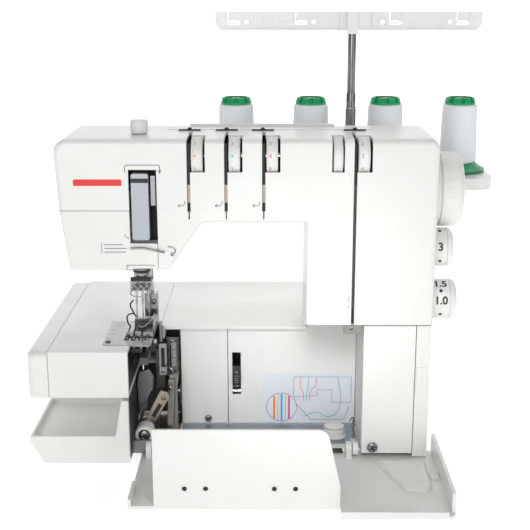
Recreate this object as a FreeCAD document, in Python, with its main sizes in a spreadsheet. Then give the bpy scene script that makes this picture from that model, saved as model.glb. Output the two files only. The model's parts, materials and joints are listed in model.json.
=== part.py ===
"""Coverstitch (serger family) sewing machine with free arm, looper cover, spool stand and thread tree.

Millimetres.  +X right, +Y to the back, +Z up.  The origin is on the table under the middle of the
machine's bounding box.  The looper cover hangs open at the front.
"""
import FreeCAD, Part
import math
import os
import re
import Sketcher

doc = FreeCAD.newDocument("coverstitch_machine")
dims = doc.addObject("Spreadsheet::Sheet", "dims")
V = FreeCAD.Vector
nodes = {}

# ---------------------------------------------------------------- driving dimensions
DRIVING = {
    "half_width": 209, "half_depth": 160, "foot_tall": 8, "wall": 3, "skin": 2.5,
    # bed and free arm
    "bed_top": 112, "arm_bottom": 70, "front_y": -61, "panel_y": 16, "arm_right": -121,
    "bed_seam": -99.5, "cap_seam": -190, "base_left": -118, "base_front": -36, "bed_front": 9.5,
    # head, arm and column
    "top_z": 295, "under_arm": 226, "head_bottom": 185, "head_left": -177, "face_seam": 236,
    "slant_low_x": -84, "slant_high_x": -55, "column_left": 32, "column_right": 140,
    "column_foot": 137, "housing_seam": 12, "housing_rear": 36, "notch_left": -119, "notch_right": -95,
    "lip_wide": 9, "lip_deep": 0.8,
    # drive train
    "shaft_y": -6, "shaft_z": 244, "shaft_r": 5, "lower_y": 30, "lower_z": 40, "timing_r": 10,
    "drive_r": 26, "motor_y": -20, "motor_z": 62, "motor_r": 20, "motor_pulley_r": 6.5,
    # needles, presser and take-up
    "needle_x": -116, "needle_y": 15, "presser_x": -110, "presser_y": 25.5, "bar_r": 3.5,
    "slot_left": -115, "slot_right": -92, "slot_low": 208, "slot_high": 270,
    # tension row
    "thread_slot": 2.7, "slot_one": -65.6, "slot_two": -34.9, "slot_three": -3.9, "slot_four": 71.4,
    "dial_y": -46.5, "dial_z": 279.5, "dial_r": 16, "dial_wide": 9.5,
    # looper cover (open) and its hinge
    "hinge_y": -51, "hinge_z": 18.6, "lug_r": 6, "pin_r": 2, "cover_low": 8.6, "cover_back": -40,
    "cover_left": -113, "cover_step": 58, "cover_right": 149, "top_wall_y": -144.4, "top_wall_high": 77.4,
    # side tray
    "tray_front": -61, "tray_back": 30, "tray_high": 34, "tray_floor": 28,
    # controls on the right side
    "wheel_r": 32.6, "wheel_out": 167, "dial_a_y": -26, "dial_a_z": 197, "dial_a_r": 16.7,
    "dial_b_z": 150, "dial_b_r": 17.5,
    # spool stand and thread tree
    "stand_left": -49, "stand_front": 49, "stand_back": 141, "stand_low": 232, "stand_high": 243,
    "spool_y": 95, "spool_one": -31, "spool_pitch": 71, "spool_tall": 70, "pole_x": 78,
    "tree_left": -50, "tree_right": 199, "tree_low": 375, "tree_high": 392,
}
for line, (word, value) in enumerate(DRIVING.items(), start=1):
    dims.set("A%d" % line, word)
    dims.set("B%d" % line, str(value))
    dims.setAlias("B%d" % line, word)
doc.recompute()


# ---------------------------------------------------------------- expressions and primitives
def formula(text):
    """Turn 'bed_top - wall' into an expression on the spreadsheet."""
    return re.sub(r"[a-z]+_[a-z_]+|wall|skin", lambda word: "dims." + word.group(0), str(text))


def number(text):
    return float(dims.evalExpression(formula(text)))


def bind(thing, prop, text):
    thing.setExpression(prop, formula(text))


def move(thing, x=0, y=0, z=0):
    for axis, text in zip("xyz", (x, y, z)):
        bind(thing, "Placement.Base." + axis, text)


def block(x, y, z):
    """Box between two faces on each axis."""
    made = doc.addObject("Part::Box", "block")
    for size, (low, high) in zip(("Length", "Width", "Height"), (x, y, z)):
        bind(made, size, "(%s) - (%s)" % (high, low))
    move(made, x[0], y[0], z[0])
    return made


TURNS = {"X": (V(0, 1, 0), 90), "Y": (V(1, 0, 0), -90), "Z": (V(0, 0, 1), 0)}


def rod(axis, centre, span, radius, tip_radius=None):
    """Cylinder, or a cone when tip_radius is given, along an axis; centre is the other two places."""
    made = doc.addObject("Part::Cylinder" if tip_radius is None else "Part::Cone", "rod")
    if tip_radius is None:
        bind(made, "Radius", radius)
    else:
        bind(made, "Radius1", radius)
        bind(made, "Radius2", tip_radius)
    bind(made, "Height", "(%s) - (%s)" % (span[1], span[0]))
    made.Placement = FreeCAD.Placement(V(), FreeCAD.Rotation(*TURNS[axis]))
    place = {"X": (span[0], *centre), "Y": (centre[0], span[0], centre[1]), "Z": (*centre, span[0])}
    move(made, *place[axis])
    return made


def ring(axis, centre, span, radius, hole):
    return cut(rod(axis, centre, span, radius), rod(axis, centre, span, hole))


def fuse(*parts):
    made = doc.addObject("Part::MultiFuse", "fuse")
    made.Shapes = list(parts)
    made.Refine = True
    return made


def cut(base, *tools):
    made = doc.addObject("Part::Cut", "cut")
    made.Base = base
    made.Tool = tools[0] if len(tools) == 1 else fuse(*tools)
    return made


def group(*parts):
    made = doc.addObject("Part::Compound", "group")
    made.Links = list(parts)
    return made


def rounded(base, radius, pick):
    """Round the edges of base that pick(edge) chooses."""
    doc.recompute()
    made = doc.addObject("Part::Fillet", "rounded")
    made.Base = base
    made.Edges = [(i, radius, radius) for i, edge in enumerate(base.Shape.Edges, 1) if pick(edge)]
    return made


def is_rim(edge):
    """Full circles, such as the rims of a knob."""
    return isinstance(edge.Curve, Part.Circle) and len(edge.Vertexes) == 1


def knob(axis, centre, span, radius, soft):
    return rounded(rod(axis, centre, span, radius), soft, is_rim)


def keep(name, made):
    """Name a finished sub-part; its label is the name of its file."""
    made.Label = name
    nodes[name] = made
    return made


# ---------------------------------------------------------------- bodies with bound sketches
PLANES = {"XY": ("XY_Plane", 1), "XZ": ("XZ_Plane", -1), "YZ": ("YZ_Plane", 1)}


class Shell:
    """PartDesign body whose sketches take every corner from the spreadsheet."""

    def __init__(self, name):
        self.body = doc.addObject("PartDesign::Body", name)
        keep(name, self.body)

    def sketch(self, plane, corners, height):
        role, side = PLANES[plane]
        made = self.body.newObject("Sketcher::SketchObject", "outline")
        origin = [part for part in self.body.Origin.OriginFeatures if part.Role == role][0]
        made.AttachmentSupport = [(origin, "")]
        made.MapMode = "FlatFace"
        bind(made, "AttachmentOffset.Base.z", "%d * (%s)" % (side, height))
        draw(made, corners)
        return made

    def pad(self, plane, corners, span):
        low, high = span if PLANES[plane][1] > 0 else span[::-1]
        made = self.body.newObject("PartDesign::Pad", "pad")
        made.Profile = self.sketch(plane, corners, low)
        bind(made, "Length", "abs((%s) - (%s))" % (high, low))
        return self

    def pocket(self, plane, corners, span):
        low, high = span if PLANES[plane][1] > 0 else span[::-1]
        doc.recompute()
        before = self.body.Shape.Volume
        made = self.body.newObject("PartDesign::Pocket", "pocket")
        made.Profile = self.sketch(plane, corners, high)
        bind(made, "Length", "abs((%s) - (%s))" % (high, low))
        doc.recompute()
        assert self.body.Shape.Volume < before - 0.01, self.body.Label + ": pocket cuts nothing"
        return self

    def turn(self, corners):
        """Revolve (radius, height) corners about the body's own Z axis."""
        made = self.body.newObject("PartDesign::Revolution", "turned")
        outline = self.sketch("XZ", corners, 0)
        made.Profile = outline
        made.ReferenceAxis = (outline, ["V_Axis"])
        made.Angle = 360
        return self

    def dress(self, kind, size, pick):
        """Fillet or chamfer the picked edges of the tip."""
        doc.recompute()
        tip = self.body.Tip
        names = ["Edge%d" % i for i, edge in enumerate(tip.Shape.Edges, 1) if pick(edge)]
        assert names, self.body.Label + ": no edge to dress"
        made = self.body.newObject("PartDesign::" + kind, kind.lower())
        made.Base = (tip, names)
        bind(made, "Radius" if kind == "Fillet" else "Size", size)
        return self


def draw(sketch, corners):
    """Closed outline through (u, v) or (u, v, radius) corners, each bound to the spreadsheet."""
    spots = [V(number(c[0]), number(c[1]), 0) for c in corners]
    count = len(corners)
    ends = []
    for i, corner in enumerate(corners):
        here = spots[i]
        before = (spots[i - 1] - here).normalize()
        after = (spots[(i + 1) % count] - here).normalize()
        if len(corner) == 2:
            ends.append((here, here, None))
            continue
        radius = number(corner[2])
        half = before.getAngle(after) / 2
        reach = radius / math.tan(half)
        centre = here + (before + after).normalize() * (radius / math.sin(half))
        ends.append((here + before * reach, here + after * reach, centre))
    for i in range(count):
        sketch.addGeometry(Part.LineSegment(ends[i][1], ends[(i + 1) % count][0]), False)
    for i, corner in enumerate(corners):
        line_in, line_out = (i - 1) % count, i
        if ends[i][2] is None:
            sketch.addConstraint(Sketcher.Constraint("Coincident", line_in, 2, line_out, 1))
            fix_point(sketch, line_out, corner, spots[i])
            continue
        start, end, centre = ends[i]
        middle = centre + (spots[i] - centre).normalize() * number(corner[2])
        arc = sketch.addGeometry(Part.Arc(start, middle, end), False)
        swapped = (sketch.getPoint(arc, 1) - start).Length > 1e-6
        first, last = (2, 1) if swapped else (1, 2)
        sketch.addConstraint(Sketcher.Constraint("Tangent", line_in, 2, arc, first))
        sketch.addConstraint(Sketcher.Constraint("Tangent", line_out, 1, arc, last))
        size = sketch.addConstraint(Sketcher.Constraint("Radius", arc, number(corner[2])))
        bind(sketch, "Constraints[%d]" % size, corner[2])
        point = sketch.addGeometry(Part.Point(spots[i]), True)
        sketch.addConstraint(Sketcher.Constraint("PointOnObject", point, 1, line_in))
        sketch.addConstraint(Sketcher.Constraint("PointOnObject", point, 1, line_out))
        fix_point(sketch, point, corner, spots[i])


def fix_point(sketch, item, corner, spot):
    for kind, text, value in (("DistanceX", corner[0], spot.x), ("DistanceY", corner[1], spot.y)):
        made = sketch.addConstraint(Sketcher.Constraint(kind, -1, 1, item, 1, value))
        if value != 0:
            bind(sketch, "Constraints[%d]" % made, text)


def corners(u, v, radius=None):
    """Rectangle outline, rounded when a radius is given."""
    spots = [(u[0], v[0]), (u[1], v[0]), (u[1], v[1]), (u[0], v[1])]
    return spots if radius is None else [(*spot, radius) for spot in spots]


def near(value, target, slack=0.05):
    return abs(value - target) < slack


def lies(edge, x=None, y=None, z=None):
    """True for an edge that stays in the given planes."""
    box = edge.BoundBox
    low, high = (box.XMin, box.YMin, box.ZMin), (box.XMax, box.YMax, box.ZMax)
    return all(want is None or (near(low[i], number(want)) and near(high[i], number(want)))
               for i, want in enumerate((x, y, z)))


# ---------------------------------------------------------------- base, bed and free arm
def base_frame():
    plate = block(("base_left", "column_right"), ("base_front", "half_depth - wall"), ("foot_tall", "12"))
    lugs, holes = [], []
    for low in (-102.5, 74.5):
        span = (low, low + 5)
        arm = block(span, ("hinge_y", "base_front + 6"), ("hinge_z - lug_r", "hinge_z"))
        foot = block(span, ("base_front", "base_front + 6"), ("12", "hinge_z"))
        lugs += [rod("X", ("hinge_y", "hinge_z"), span, "lug_r"), arm, foot]
        holes.append(rod("X", ("hinge_y", "hinge_z"), span, "pin_r"))
    rail = block((-186, "base_left"), ("tray_back + 1", "tray_back + 11"), ("10", "14"))
    root = block(("base_left", "base_left + 6"), ("tray_back + 1", "tray_back + 11"), ("12", "14"))
    keep("base_frame", cut(fuse(plate, rail, root, *lugs), *holes))


def rubber_feet():
    places = [(x, y) for x in (-104, 126) for y in (-22, 142)]
    keep("rubber_feet", group(*[rod("Z", place, ("0", "foot_tall"), 9, 11) for place in places]))


def bed_cover():
    shell = Shell("bed_cover")
    shell.pad("XY", corners(("bed_seam + 0.2", "column_right"), ("bed_front", "half_depth"), 6),
              ("12", "bed_top"))
    shell.pocket("XY", corners(("bed_seam + 0.2 + wall", "column_right - wall"),
                               ("bed_front", "half_depth - wall")), ("12", "bed_top - wall"))
    shell.pad("XY", corners(("column_right - wall", "column_right"), (-54, "housing_seam")), ("12", 134))
    shell.pad("XY", corners(("column_right - 12.5", "column_right"), (-54, "wall - 54")), ("12", 134))
    shell.pocket("YZ", corners((57, 103), (73, 103)), ("bed_seam", "bed_seam + wall + 1"))
    shell.pocket("YZ", corners(("bed_front", 60), (12, 100)), ("bed_seam", "bed_seam + wall + 1"))
    shell.pocket("XY", corners(("column_left + wall + 0.3", "column_right - wall - 0.3"),
                               ("bed_front", "housing_rear - wall - 0.3")), ("bed_top - wall", "bed_top"))
    shell.pocket("XZ", corners((99, 117), (50, 64)), ("half_depth - wall", "half_depth"))
    shell.pocket("XZ", corners((76, 96), (50, 62)), ("half_depth - wall", "half_depth"))


def free_arm_shell():
    shell = Shell("free_arm_shell")
    outline = [("cap_seam", "front_y"), ("arm_right", "front_y"), ("arm_right", "25"),
               ("bed_seam", "25"), ("bed_seam", "half_depth"), ("cap_seam", "half_depth")]
    shell.pad("XY", outline, ("arm_bottom", "bed_top"))
    inner = [("cap_seam", "front_y + wall"), ("arm_right", "front_y + wall"), ("arm_right", "25"),
             ("bed_seam - wall", "25"), ("bed_seam - wall", "half_depth - wall"),
             ("cap_seam", "half_depth - wall")]
    shell.pocket("XY", inner, ("arm_bottom + wall", "bed_top - wall"))
    shell.pocket("XY", corners((-145.2, -90), (-43.2, 24.2)), ("bed_top - 1.6", "bed_top"))
    shell.pocket("XY", corners((-141, -90), (-40, 21)), ("bed_top - wall", "bed_top"))
    shell.pocket("YZ", corners((57, 103), (73, 103)), ("bed_seam - wall", "bed_seam"))


def free_arm_end_cap():
    shell = Shell("free_arm_end_cap")
    outline = [("-half_width", "front_y", 9), ("cap_seam - 0.3", "front_y"),
               ("cap_seam - 0.3", "half_depth"), ("-half_width", "half_depth", 9)]
    shell.pad("XY", outline, ("arm_bottom", "bed_top"))
    shell.dress("Fillet", 6, lambda e: lies(e, z="bed_top") and e.BoundBox.XMin < number("cap_seam") - 1
                and not lies(e, x="cap_seam - 0.3"))
    inner = corners(("wall - half_width + 5", "cap_seam - 0.3"), ("front_y + 8", "half_depth - 8"))
    shell.pocket("XY", inner, ("arm_bottom + wall", "bed_top - 8"))


def inner_panels():
    left = Shell("left_inner_panel")
    left.pad("XZ", corners((-82, -38.3), (13, "bed_top - wall - 0.3")), ("panel_y", "panel_y + skin"))
    left.pocket("XZ", corners((-58.6, -55.4), (16.4, 19.6)), ("panel_y", "panel_y + skin"))
    panel = Shell("threading_panel")
    ceiling, step = "bed_top - wall - 0.3", "column_left + wall + 0.5"
    outline = [(-37.7, 13), (81.7, 13), (81.7, "column_foot - 0.5"), (step, "column_foot - 0.5"),
               (step, ceiling), (-37.7, ceiling)]
    panel.pad("XZ", outline, ("panel_y", "panel_y + skin"))
    panel.pocket("XZ", corners((-34, -26), (42, 84)), ("panel_y", "panel_y + skin"))
    column = Shell("column_inner_cover")
    outline = [(82, -54), ("column_right - 13", -54), ("column_right - 13", -51.5), (84.5, -51.5),
               (84.5, "panel_y + skin"), (82, "panel_y + skin")]
    column.pad("XY", outline, (15, 134))
    column.pocket("XZ", corners((90.4, 93.6), (19.4, 22.6)), (-54, -51.5))


# ---------------------------------------------------------------- head, arm and column housings
NEEDLE_SLOTS = ("slot_one", "slot_two", "slot_three")


def c_outline(inset, foot):
    """Front outline of head, arm and column, drawn in from the outside by inset."""
    i = inset
    lean = 0.6 * number(i) if i != "0" else 0
    return [("head_left + %s" % i, "top_z - %s" % i, "12 - (%s)" % i),
            ("column_right - %s" % i, "top_z - %s" % i, "8 - (%s)" % i),
            ("column_right - %s" % i, "%s + %s" % (foot, i)),
            ("column_left + %s" % i, "%s + %s" % (foot, i)),
            ("column_left + %s" % i, "under_arm + %s" % i),
            ("slant_high_x - %s" % lean, "under_arm + %s" % i),
            ("slant_low_x - %s" % lean, "head_bottom + %s" % i),
            ("head_left + 10 + %s" % i, "head_bottom + %s" % i),
            ("head_left + 3 + %s" % i, "face_seam")]


WINDOW = ("dial_z - 11.6", "top_z + 1")
WINDOW_REACH = ("front_y - 1", "dial_y + 10.8")


def front_housing():
    shell = Shell("front_housing")
    shell.pad("XZ", c_outline("0", "column_foot"), ("front_y", "housing_seam"))
    throat = lambda e: lies(e, y="front_y") and (
        lies(e, z="under_arm") or lies(e, x="column_left") or
        (e.BoundBox.ZMax < number("under_arm") + 1 and e.BoundBox.XMin > number("slant_low_x") - 1
         and e.BoundBox.XMax < number("slant_high_x") + 1))
    soften_slant(shell)
    shell.dress("Chamfer", 2, throat)
    shell.dress("Fillet", 5, lambda e: lies(e, y="front_y") and e.BoundBox.ZMax > number("face_seam") + 1
                and not lies(e, z="column_foot") and not throat_band(e))
    shell.pocket("XZ", c_outline("wall", "column_foot"), ("front_y + 8", "housing_seam"))
    shell.pocket("XZ", deep_outline(), ("front_y + wall", "front_y + 8"))
    lower_left = [("head_left - 1", "face_seam"), ("slot_right", "face_seam"),
                  ("slot_right", "head_bottom - 1"), ("head_left - 1", "head_bottom - 1")]
    shell.pocket("XZ", lower_left, ("front_y - 1", "housing_seam"))
    shell.pocket("XZ", corners(("slot_left", "slot_right"), ("slot_low", "slot_high")),
                 ("front_y", "front_y + 8"))
    lip = [("slot_right", "face_seam"), ("column_left + lip_wide", "face_seam"),
           ("column_left + lip_wide", "column_foot - 1"), ("column_left - 1", "column_foot - 1"),
           ("column_left - 1", "head_bottom - 1"), ("slot_right", "head_bottom - 1")]
    shell.pocket("XZ", lip, ("front_y - 1", "front_y + lip_deep"))
    for name in NEEDLE_SLOTS:
        thread_slit(shell, name, "face_seam - 1")
        shell.pocket("XZ", corners((name + " - 0.6", name + " + 0.6"), ("under_arm + 2.5",
                                                                        "face_seam + 1")),
                     ("front_y - 1", "front_y + 8.5"))
    thread_slit(shell, "slot_four", "column_foot - 1")
    windows = [(name + " + 1.3", name + " + 13.6") for name in (*NEEDLE_SLOTS, "slot_four")]
    for sides in (*windows, (52, 62.2)):
        shell.pocket("XZ", corners(sides, WINDOW), WINDOW_REACH)
    column_sides = ("column_left + wall", "column_right - wall")
    shell.pocket("XY", corners(column_sides, ("front_y + 8", "housing_seam")),
                 ("column_foot", "column_foot + wall"))
    shell.pocket("XY", corners((-114.6, -103.4), (-31.6, -20.4), 5.5), ("top_z - wall", "top_z"))
    shell.pocket("YZ", corners(("shaft_y - 12", "shaft_y + 12"), ("shaft_z - 12", "shaft_z + 12"), 11.5),
                 ("column_right - wall", "column_right"))
    for centre in ("dial_a_z", "dial_b_z"):
        shell.pocket("YZ", corners(("dial_a_y - 4.3", "dial_a_y + 4.3"),
                                   (centre + " - 4.3", centre + " + 4.3"), 4.2),
                     ("column_right - wall", "column_right"))


def soften_slant(shell):
    """Round the two corners of the slope between head and arm."""
    shell.dress("Fillet", 12, lambda e: lies(e, x="slant_high_x", z="under_arm"))
    shell.dress("Fillet", 8, lambda e: lies(e, x="slant_low_x", z="head_bottom"))


def throat_band(edge):
    """Edges of the chamfered band round the throat."""
    box = edge.BoundBox
    return box.XMin > -86 and box.XMax < 40 and box.ZMax < number("under_arm") + 8


def deep_outline():
    """Inside of the front wall, drawn further in where the outer edges are softened."""
    return [("head_left + 6", "top_z - 6"), ("column_right - 6", "top_z - 6"),
            ("column_right - 6", "column_foot + wall"), ("column_left + 10", "column_foot + wall"),
            ("column_left + 10", "under_arm + 10"), ("slant_high_x - 9", "under_arm + 10"),
            ("slot_right + 4", "head_bottom + 12"), ("head_left + 14", "head_bottom + 12"),
            ("head_left + 6", "face_seam")]


def thread_slit(shell, centre, low):
    """Slit that the thread drops into, open at the top."""
    sides = (centre + " - thread_slot / 2", centre + " + thread_slot / 2")
    shell.pocket("XZ", corners(sides, (low, "top_z + 1")), ("front_y - 1", "front_y + 12"))
    shell.pocket("XZ", corners(sides, ("top_z - 9", "top_z + 1")), ("front_y + 11", "front_y + 46"))


def face_cover():
    shell = Shell("face_cover")
    low, seam = "head_bottom", "face_seam - 0.4"
    outline = [("head_left + 3.1", seam), ("head_left + 10", low), ("slot_right - 0.4", low),
               ("slot_right - 0.4", seam)]
    shell.pad("XZ", outline, ("front_y", "housing_seam"))
    shell.dress("Fillet", 4, lambda e: lies(e, y="front_y") and e.BoundBox.XMax < -100
                and not lies(e, z=seam) and not lies(e, z=low))
    inner = [("head_left + 7", seam), ("head_left + 13", low + " + wall"),
             ("slot_right - 0.4", low + " + wall"), ("slot_right - 0.4", seam)]
    shell.pocket("XZ", inner, ("front_y + 5", "housing_seam"))
    shell.pocket("XZ", corners(("slot_left", "slot_right + 1"), ("slot_low", "face_seam")),
                 ("front_y", "front_y + 5"))
    shell.pocket("XZ", corners(("notch_left - 8", "slot_right + 1"), (low, low + " + wall + 0.5")),
                 ("-14", "housing_seam"))
    shell.pocket("XZ", corners(("notch_left", "notch_right"), (low, low + " + 4.5")),
                 ("front_y", "front_y + 5"))


def rear_housing():
    shell = Shell("rear_housing")
    shell.pad("XZ", c_outline("0", "bed_top"), ("housing_seam + 0.3", "housing_rear"))
    soften_slant(shell)
    shell.dress("Fillet", 9, lambda e: lies(e, y="housing_rear") and e.BoundBox.ZMax > number("top_z") - 13)
    shell.pocket("XZ", c_outline("wall", "bed_top"), ("housing_seam + 0.3", "housing_rear - 9"))
    shell.pocket("XZ", rear_deep_outline(), ("housing_rear - 9", "housing_rear - wall"))
    shell.pocket("XY", corners(("column_left + wall", "column_right - wall"),
                               ("housing_seam + 0.3", "housing_rear - wall")), ("bed_top",
                                                                                "bed_top + wall"))
    shell.pocket("XY", corners((-140, -86), ("housing_seam + 0.3", "31.5")),
                 ("head_bottom", "head_bottom + wall"))
    shell.pocket("XZ", corners(("presser_x - 4", "presser_x + 4"), (212, 232)),
                 ("housing_rear - 9", "housing_rear"))


def rear_deep_outline():
    return [("head_left + 11", "top_z - 10"), ("column_right - 10", "top_z - 10"),
            ("column_right - 4", "bed_top + wall"), ("column_left + 4", "bed_top + wall"),
            ("column_left + 4", "under_arm + 4"), ("slant_high_x - 4", "under_arm + 4"),
            ("slant_low_x - 4", "head_bottom + wall"), ("head_left + 14", "head_bottom + wall"),
            ("head_left + 8", "face_seam")]


# ---------------------------------------------------------------- cast frame and drive train
NEEDLE_AT = ("needle_x", "needle_y")
PRESSER_AT = ("presser_x", "presser_y")
SHAFT = ("shaft_y", "shaft_z")
LOWER = ("lower_y", "lower_z")
MOTOR = ("motor_y", "motor_z")
UPPER_BEARINGS = ((-142, -132), (20, 30), (98, 108))
LOWER_BEARINGS = ((-84, -76), (-20, -12), (98, 108))


def machine_frame():
    solids = [block((98, 108), (-28, 31), (90, 284)), block((98, 108), (3, 54), (12, 95)),
              block((-150, 98), (22, 31), (252, 284)), block((-88, 98), (44, 54), (24, 60)),
              block((-88, -76), (44, 100), (24, 100)), block((-182, -76), (60, 100), (76, 100))]
    solids += [block(span, (-16, 22), (234, 256)) for span in UPPER_BEARINGS[:2]]
    solids += [block(span, (20, 44), (30, 50)) for span in LOWER_BEARINGS[:2]]
    bar_guides = [block((-124, -88), (8, 31), span) for span in ((192, 200), (262, 272))]
    spine = block((-100, -88), (22, 31), (192, 284))
    bores = [rod("X", SHAFT, span, 9) for span in UPPER_BEARINGS]
    bores += [rod("X", LOWER, span, 9) for span in LOWER_BEARINGS]
    bores += [rod("Z", at, (190, 286), "bar_r + 0.06") for at in (NEEDLE_AT, PRESSER_AT)]
    spring_bay = block(("presser_x - 8.5", "presser_x + 8.5"), (17.5, 32), (234, 262))
    keep("machine_frame", cut(fuse(*solids, *bar_guides, spine), spring_bay, *bores))


def shaft_bushes():
    upper = [ring("X", SHAFT, span, 9, "shaft_r + 0.05") for span in UPPER_BEARINGS]
    lower = [ring("X", LOWER, span, 9, "shaft_r + 0.05") for span in LOWER_BEARINGS]
    keep("shaft_bushes", group(*upper, *lower))


def main_shaft():
    """Upper shaft, its timing pulley and its large motor-belt pulley, and the needle crank disc."""
    shaft = rod("X", SHAFT, (-146, 160), "shaft_r")
    timing = ring("X", SHAFT, (111, 121), "timing_r", "shaft_r")
    drive = cut(ring("X", SHAFT, (125, 135), "drive_r", "shaft_r"),
                cut(rod("X", SHAFT, (127, 133), "drive_r + 1"), rod("X", SHAFT, (127, 133), "drive_r - 3")))
    crank = ring("X", SHAFT, (-130, -124), 9, "shaft_r")
    keep("main_shaft", group(shaft, timing, drive, crank))


def lower_shaft():
    shaft = rod("X", LOWER, (-88, 124), "shaft_r")
    pulley = ring("X", LOWER, (111, 121), "timing_r", "shaft_r")
    cam = cut(rod("X", ("lower_y", "lower_z + 1.5"), (-72, -64), 8), rod("X", LOWER, (-72, -64), "shaft_r"))
    keep("lower_shaft", group(shaft, pulley, cam))


def belt(name, top, top_r, low, low_r, span, thick):
    """Flat belt loop round two pulleys, a little off their rims."""
    spots = [V(0, number(p[0]), number(p[1])) for p in (top, low)]
    run = spots[1] - spots[0]
    lean = math.acos((top_r - low_r) / run.Length)

    def loop(extra):
        outline = []
        for side in (1, -1):
            turn = FreeCAD.Rotation(V(1, 0, 0), math.degrees(lean) * side)
            ray = turn.multVec(V(run).normalize())
            outline.append((spots[0] + ray * (top_r + extra), spots[1] + ray * (low_r + extra)))
        along = V(run).normalize()
        far = [spots[0] - along * (top_r + extra), spots[1] + along * (low_r + extra)]
        (top_a, low_a), (top_b, low_b) = outline
        edges = [Part.LineSegment(top_a, low_a), Part.Arc(low_a, far[1], low_b),
                 Part.LineSegment(low_b, top_b), Part.Arc(top_b, far[0], top_a)]
        return Part.Face(Part.Wire([edge.toShape() for edge in edges]))

    band = loop(thick).cut(loop(0)).extrude(V(span[1] - span[0], 0, 0))
    made = doc.addObject("Part::Feature", name)
    made.Shape = band
    made.Placement = FreeCAD.Placement(V(span[0], 0, 0), FreeCAD.Rotation())
    keep(name, made)


def belts():
    clear = 0.35
    timing = number("timing_r") + clear
    belt("timing_belt", SHAFT, timing, LOWER, timing, (112, 120), 1.8)
    belt("motor_belt", SHAFT, number("drive_r - 3") + clear, MOTOR, number("motor_pulley_r - 2") + clear,
         (128, 132), 2.2)


def motor():
    can = knob("X", MOTOR, (86, 122), "motor_r", 2)
    cradle = block((90, 118), ("motor_y - 16", "motor_y + 16"), (12, "motor_z - motor_r + 6"))
    keep("motor", cut(fuse(can, cradle), rod("X", MOTOR, (120, 123), "3.1")))
    rotor = rod("X", MOTOR, (120.5, 135), 3)
    groove = cut(rod("X", MOTOR, (127, 133), "motor_pulley_r + 1"),
                 rod("X", MOTOR, (127, 133), "motor_pulley_r - 2"))
    pulley = cut(rod("X", MOTOR, (125.5, 134.5), "motor_pulley_r"), groove)
    keep("motor_pulley", fuse(rotor, pulley))


def handwheel():
    wheel = rounded(rod("X", SHAFT, ("column_right + 1", "wheel_out"), "wheel_r"), 6, is_rim)
    recess = rod("X", SHAFT, ("wheel_out - 4", "wheel_out"), "wheel_r - 9")
    keep("handwheel", cut(wheel, recess, rod("X", SHAFT, (141, 160), "shaft_r")))


# ---------------------------------------------------------------- needle, presser and take-up
NEEDLE_XS = (-121.6, -116, -110.4)
CLAMP_Z = 151


def needle_set():
    keep("needle_bar", rod("Z", NEEDLE_AT, (160, 270), "bar_r"))
    clamp = fuse(block((-126, -106), (9, 21), (146, 156)), rod("Z", NEEDLE_AT, (154, 172), 7.5))
    holes = [rod("Z", NEEDLE_AT, (159, 173), "bar_r")]
    holes += [rod("Z", (x, "needle_y"), (145, 156), 1) for x in NEEDLE_XS]
    holes += [rod("Y", (x, CLAMP_Z), (8, 11), 1.2) for x in NEEDLE_XS]
    screws = [fuse(rod("Y", (x, CLAMP_Z), (4, 9), 2.6), rod("Y", (x, CLAMP_Z), (9, 11), 1.2))
              for x in NEEDLE_XS]
    keep("needle_clamp", group(cut(clamp, *holes), *screws))
    keep("needles", group(*[needle((x, "needle_y")) for x in NEEDLE_XS]))


def needle(at):
    shank = rod("Z", at, (132, 156), 1)
    blade = rod("Z", at, (118, 133), 0.55)
    point = rod("Z", at, (114, 118), 0.1, 0.55)
    return fuse(shank, blade, point)


def presser_set():
    """Presser bar with its collar, foot, spring and lifter, behind the needle bar."""
    keep("presser_bar", group(rod("Z", PRESSER_AT, (122, 278), "bar_r"),
                              ring("Z", PRESSER_AT, (236, 244), 6, "bar_r")))
    shank = block(("presser_x - 5", -103), (21.5, 30.5), (113, 140))
    neck = block((-108, -103), (2, 30.5), (113, 119))
    bridge = block((-122, -103), (2, 9.5), (117, 122))
    sole = block((-127, -103), (-22, 9), (113, 117))
    toes = [block((x, x + 1.4), (-23, -8), (112.5, 118)) for x in (-120.6, -113.5)]
    post = rod("Z", PRESSER_AT, (122, 141), "bar_r")
    keep("presser_foot", cut(fuse(shank, neck, bridge, sole), *toes, post))
    presser_spring(radius=5.2, half_wire=0.7, pitch=4.6, turns=3)
    sides = ("presser_x - 3.5", "presser_x + 3.5")
    lever = fuse(rod("X", (38, 222), sides, 5), block(sides, (38, 62), (218.5, 225.5)),
                 block(sides, (30.5, 38), (219, 225)))
    handle_end = rounded(lever, 1.5, lambda e: near(e.BoundBox.YMin, 62) and near(e.BoundBox.YMax, 62))
    keep("presser_lifter", handle_end)


def presser_spring(radius, half_wire, pitch, turns):
    """Coil spring of square wire round the presser bar."""
    spots = [(-1, -1), (1, -1), (1, 1), (-1, 1), (-1, -1)]
    section = Part.makePolygon([V(radius + u * half_wire, 0, v * half_wire) for u, v in spots])
    coil = Part.makeHelix(pitch, pitch * turns, radius)
    made = doc.addObject("Part::Feature", "presser_spring")
    made.Shape = Part.Wire(coil.Edges).makePipeShell([section], True, True)
    made.Placement = FreeCAD.Placement(V(number("presser_x"), number("presser_y"), 246), FreeCAD.Rotation())
    keep("presser_spring", made)


def pressure_knob():
    keep("pressure_knob", fuse(knob("Z", (-109, -26), ("top_z + 0.3", "top_z + 12"), 7.5, 2),
                               rod("Z", (-109, -26), (276, "top_z + 2"), 3)))


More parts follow.
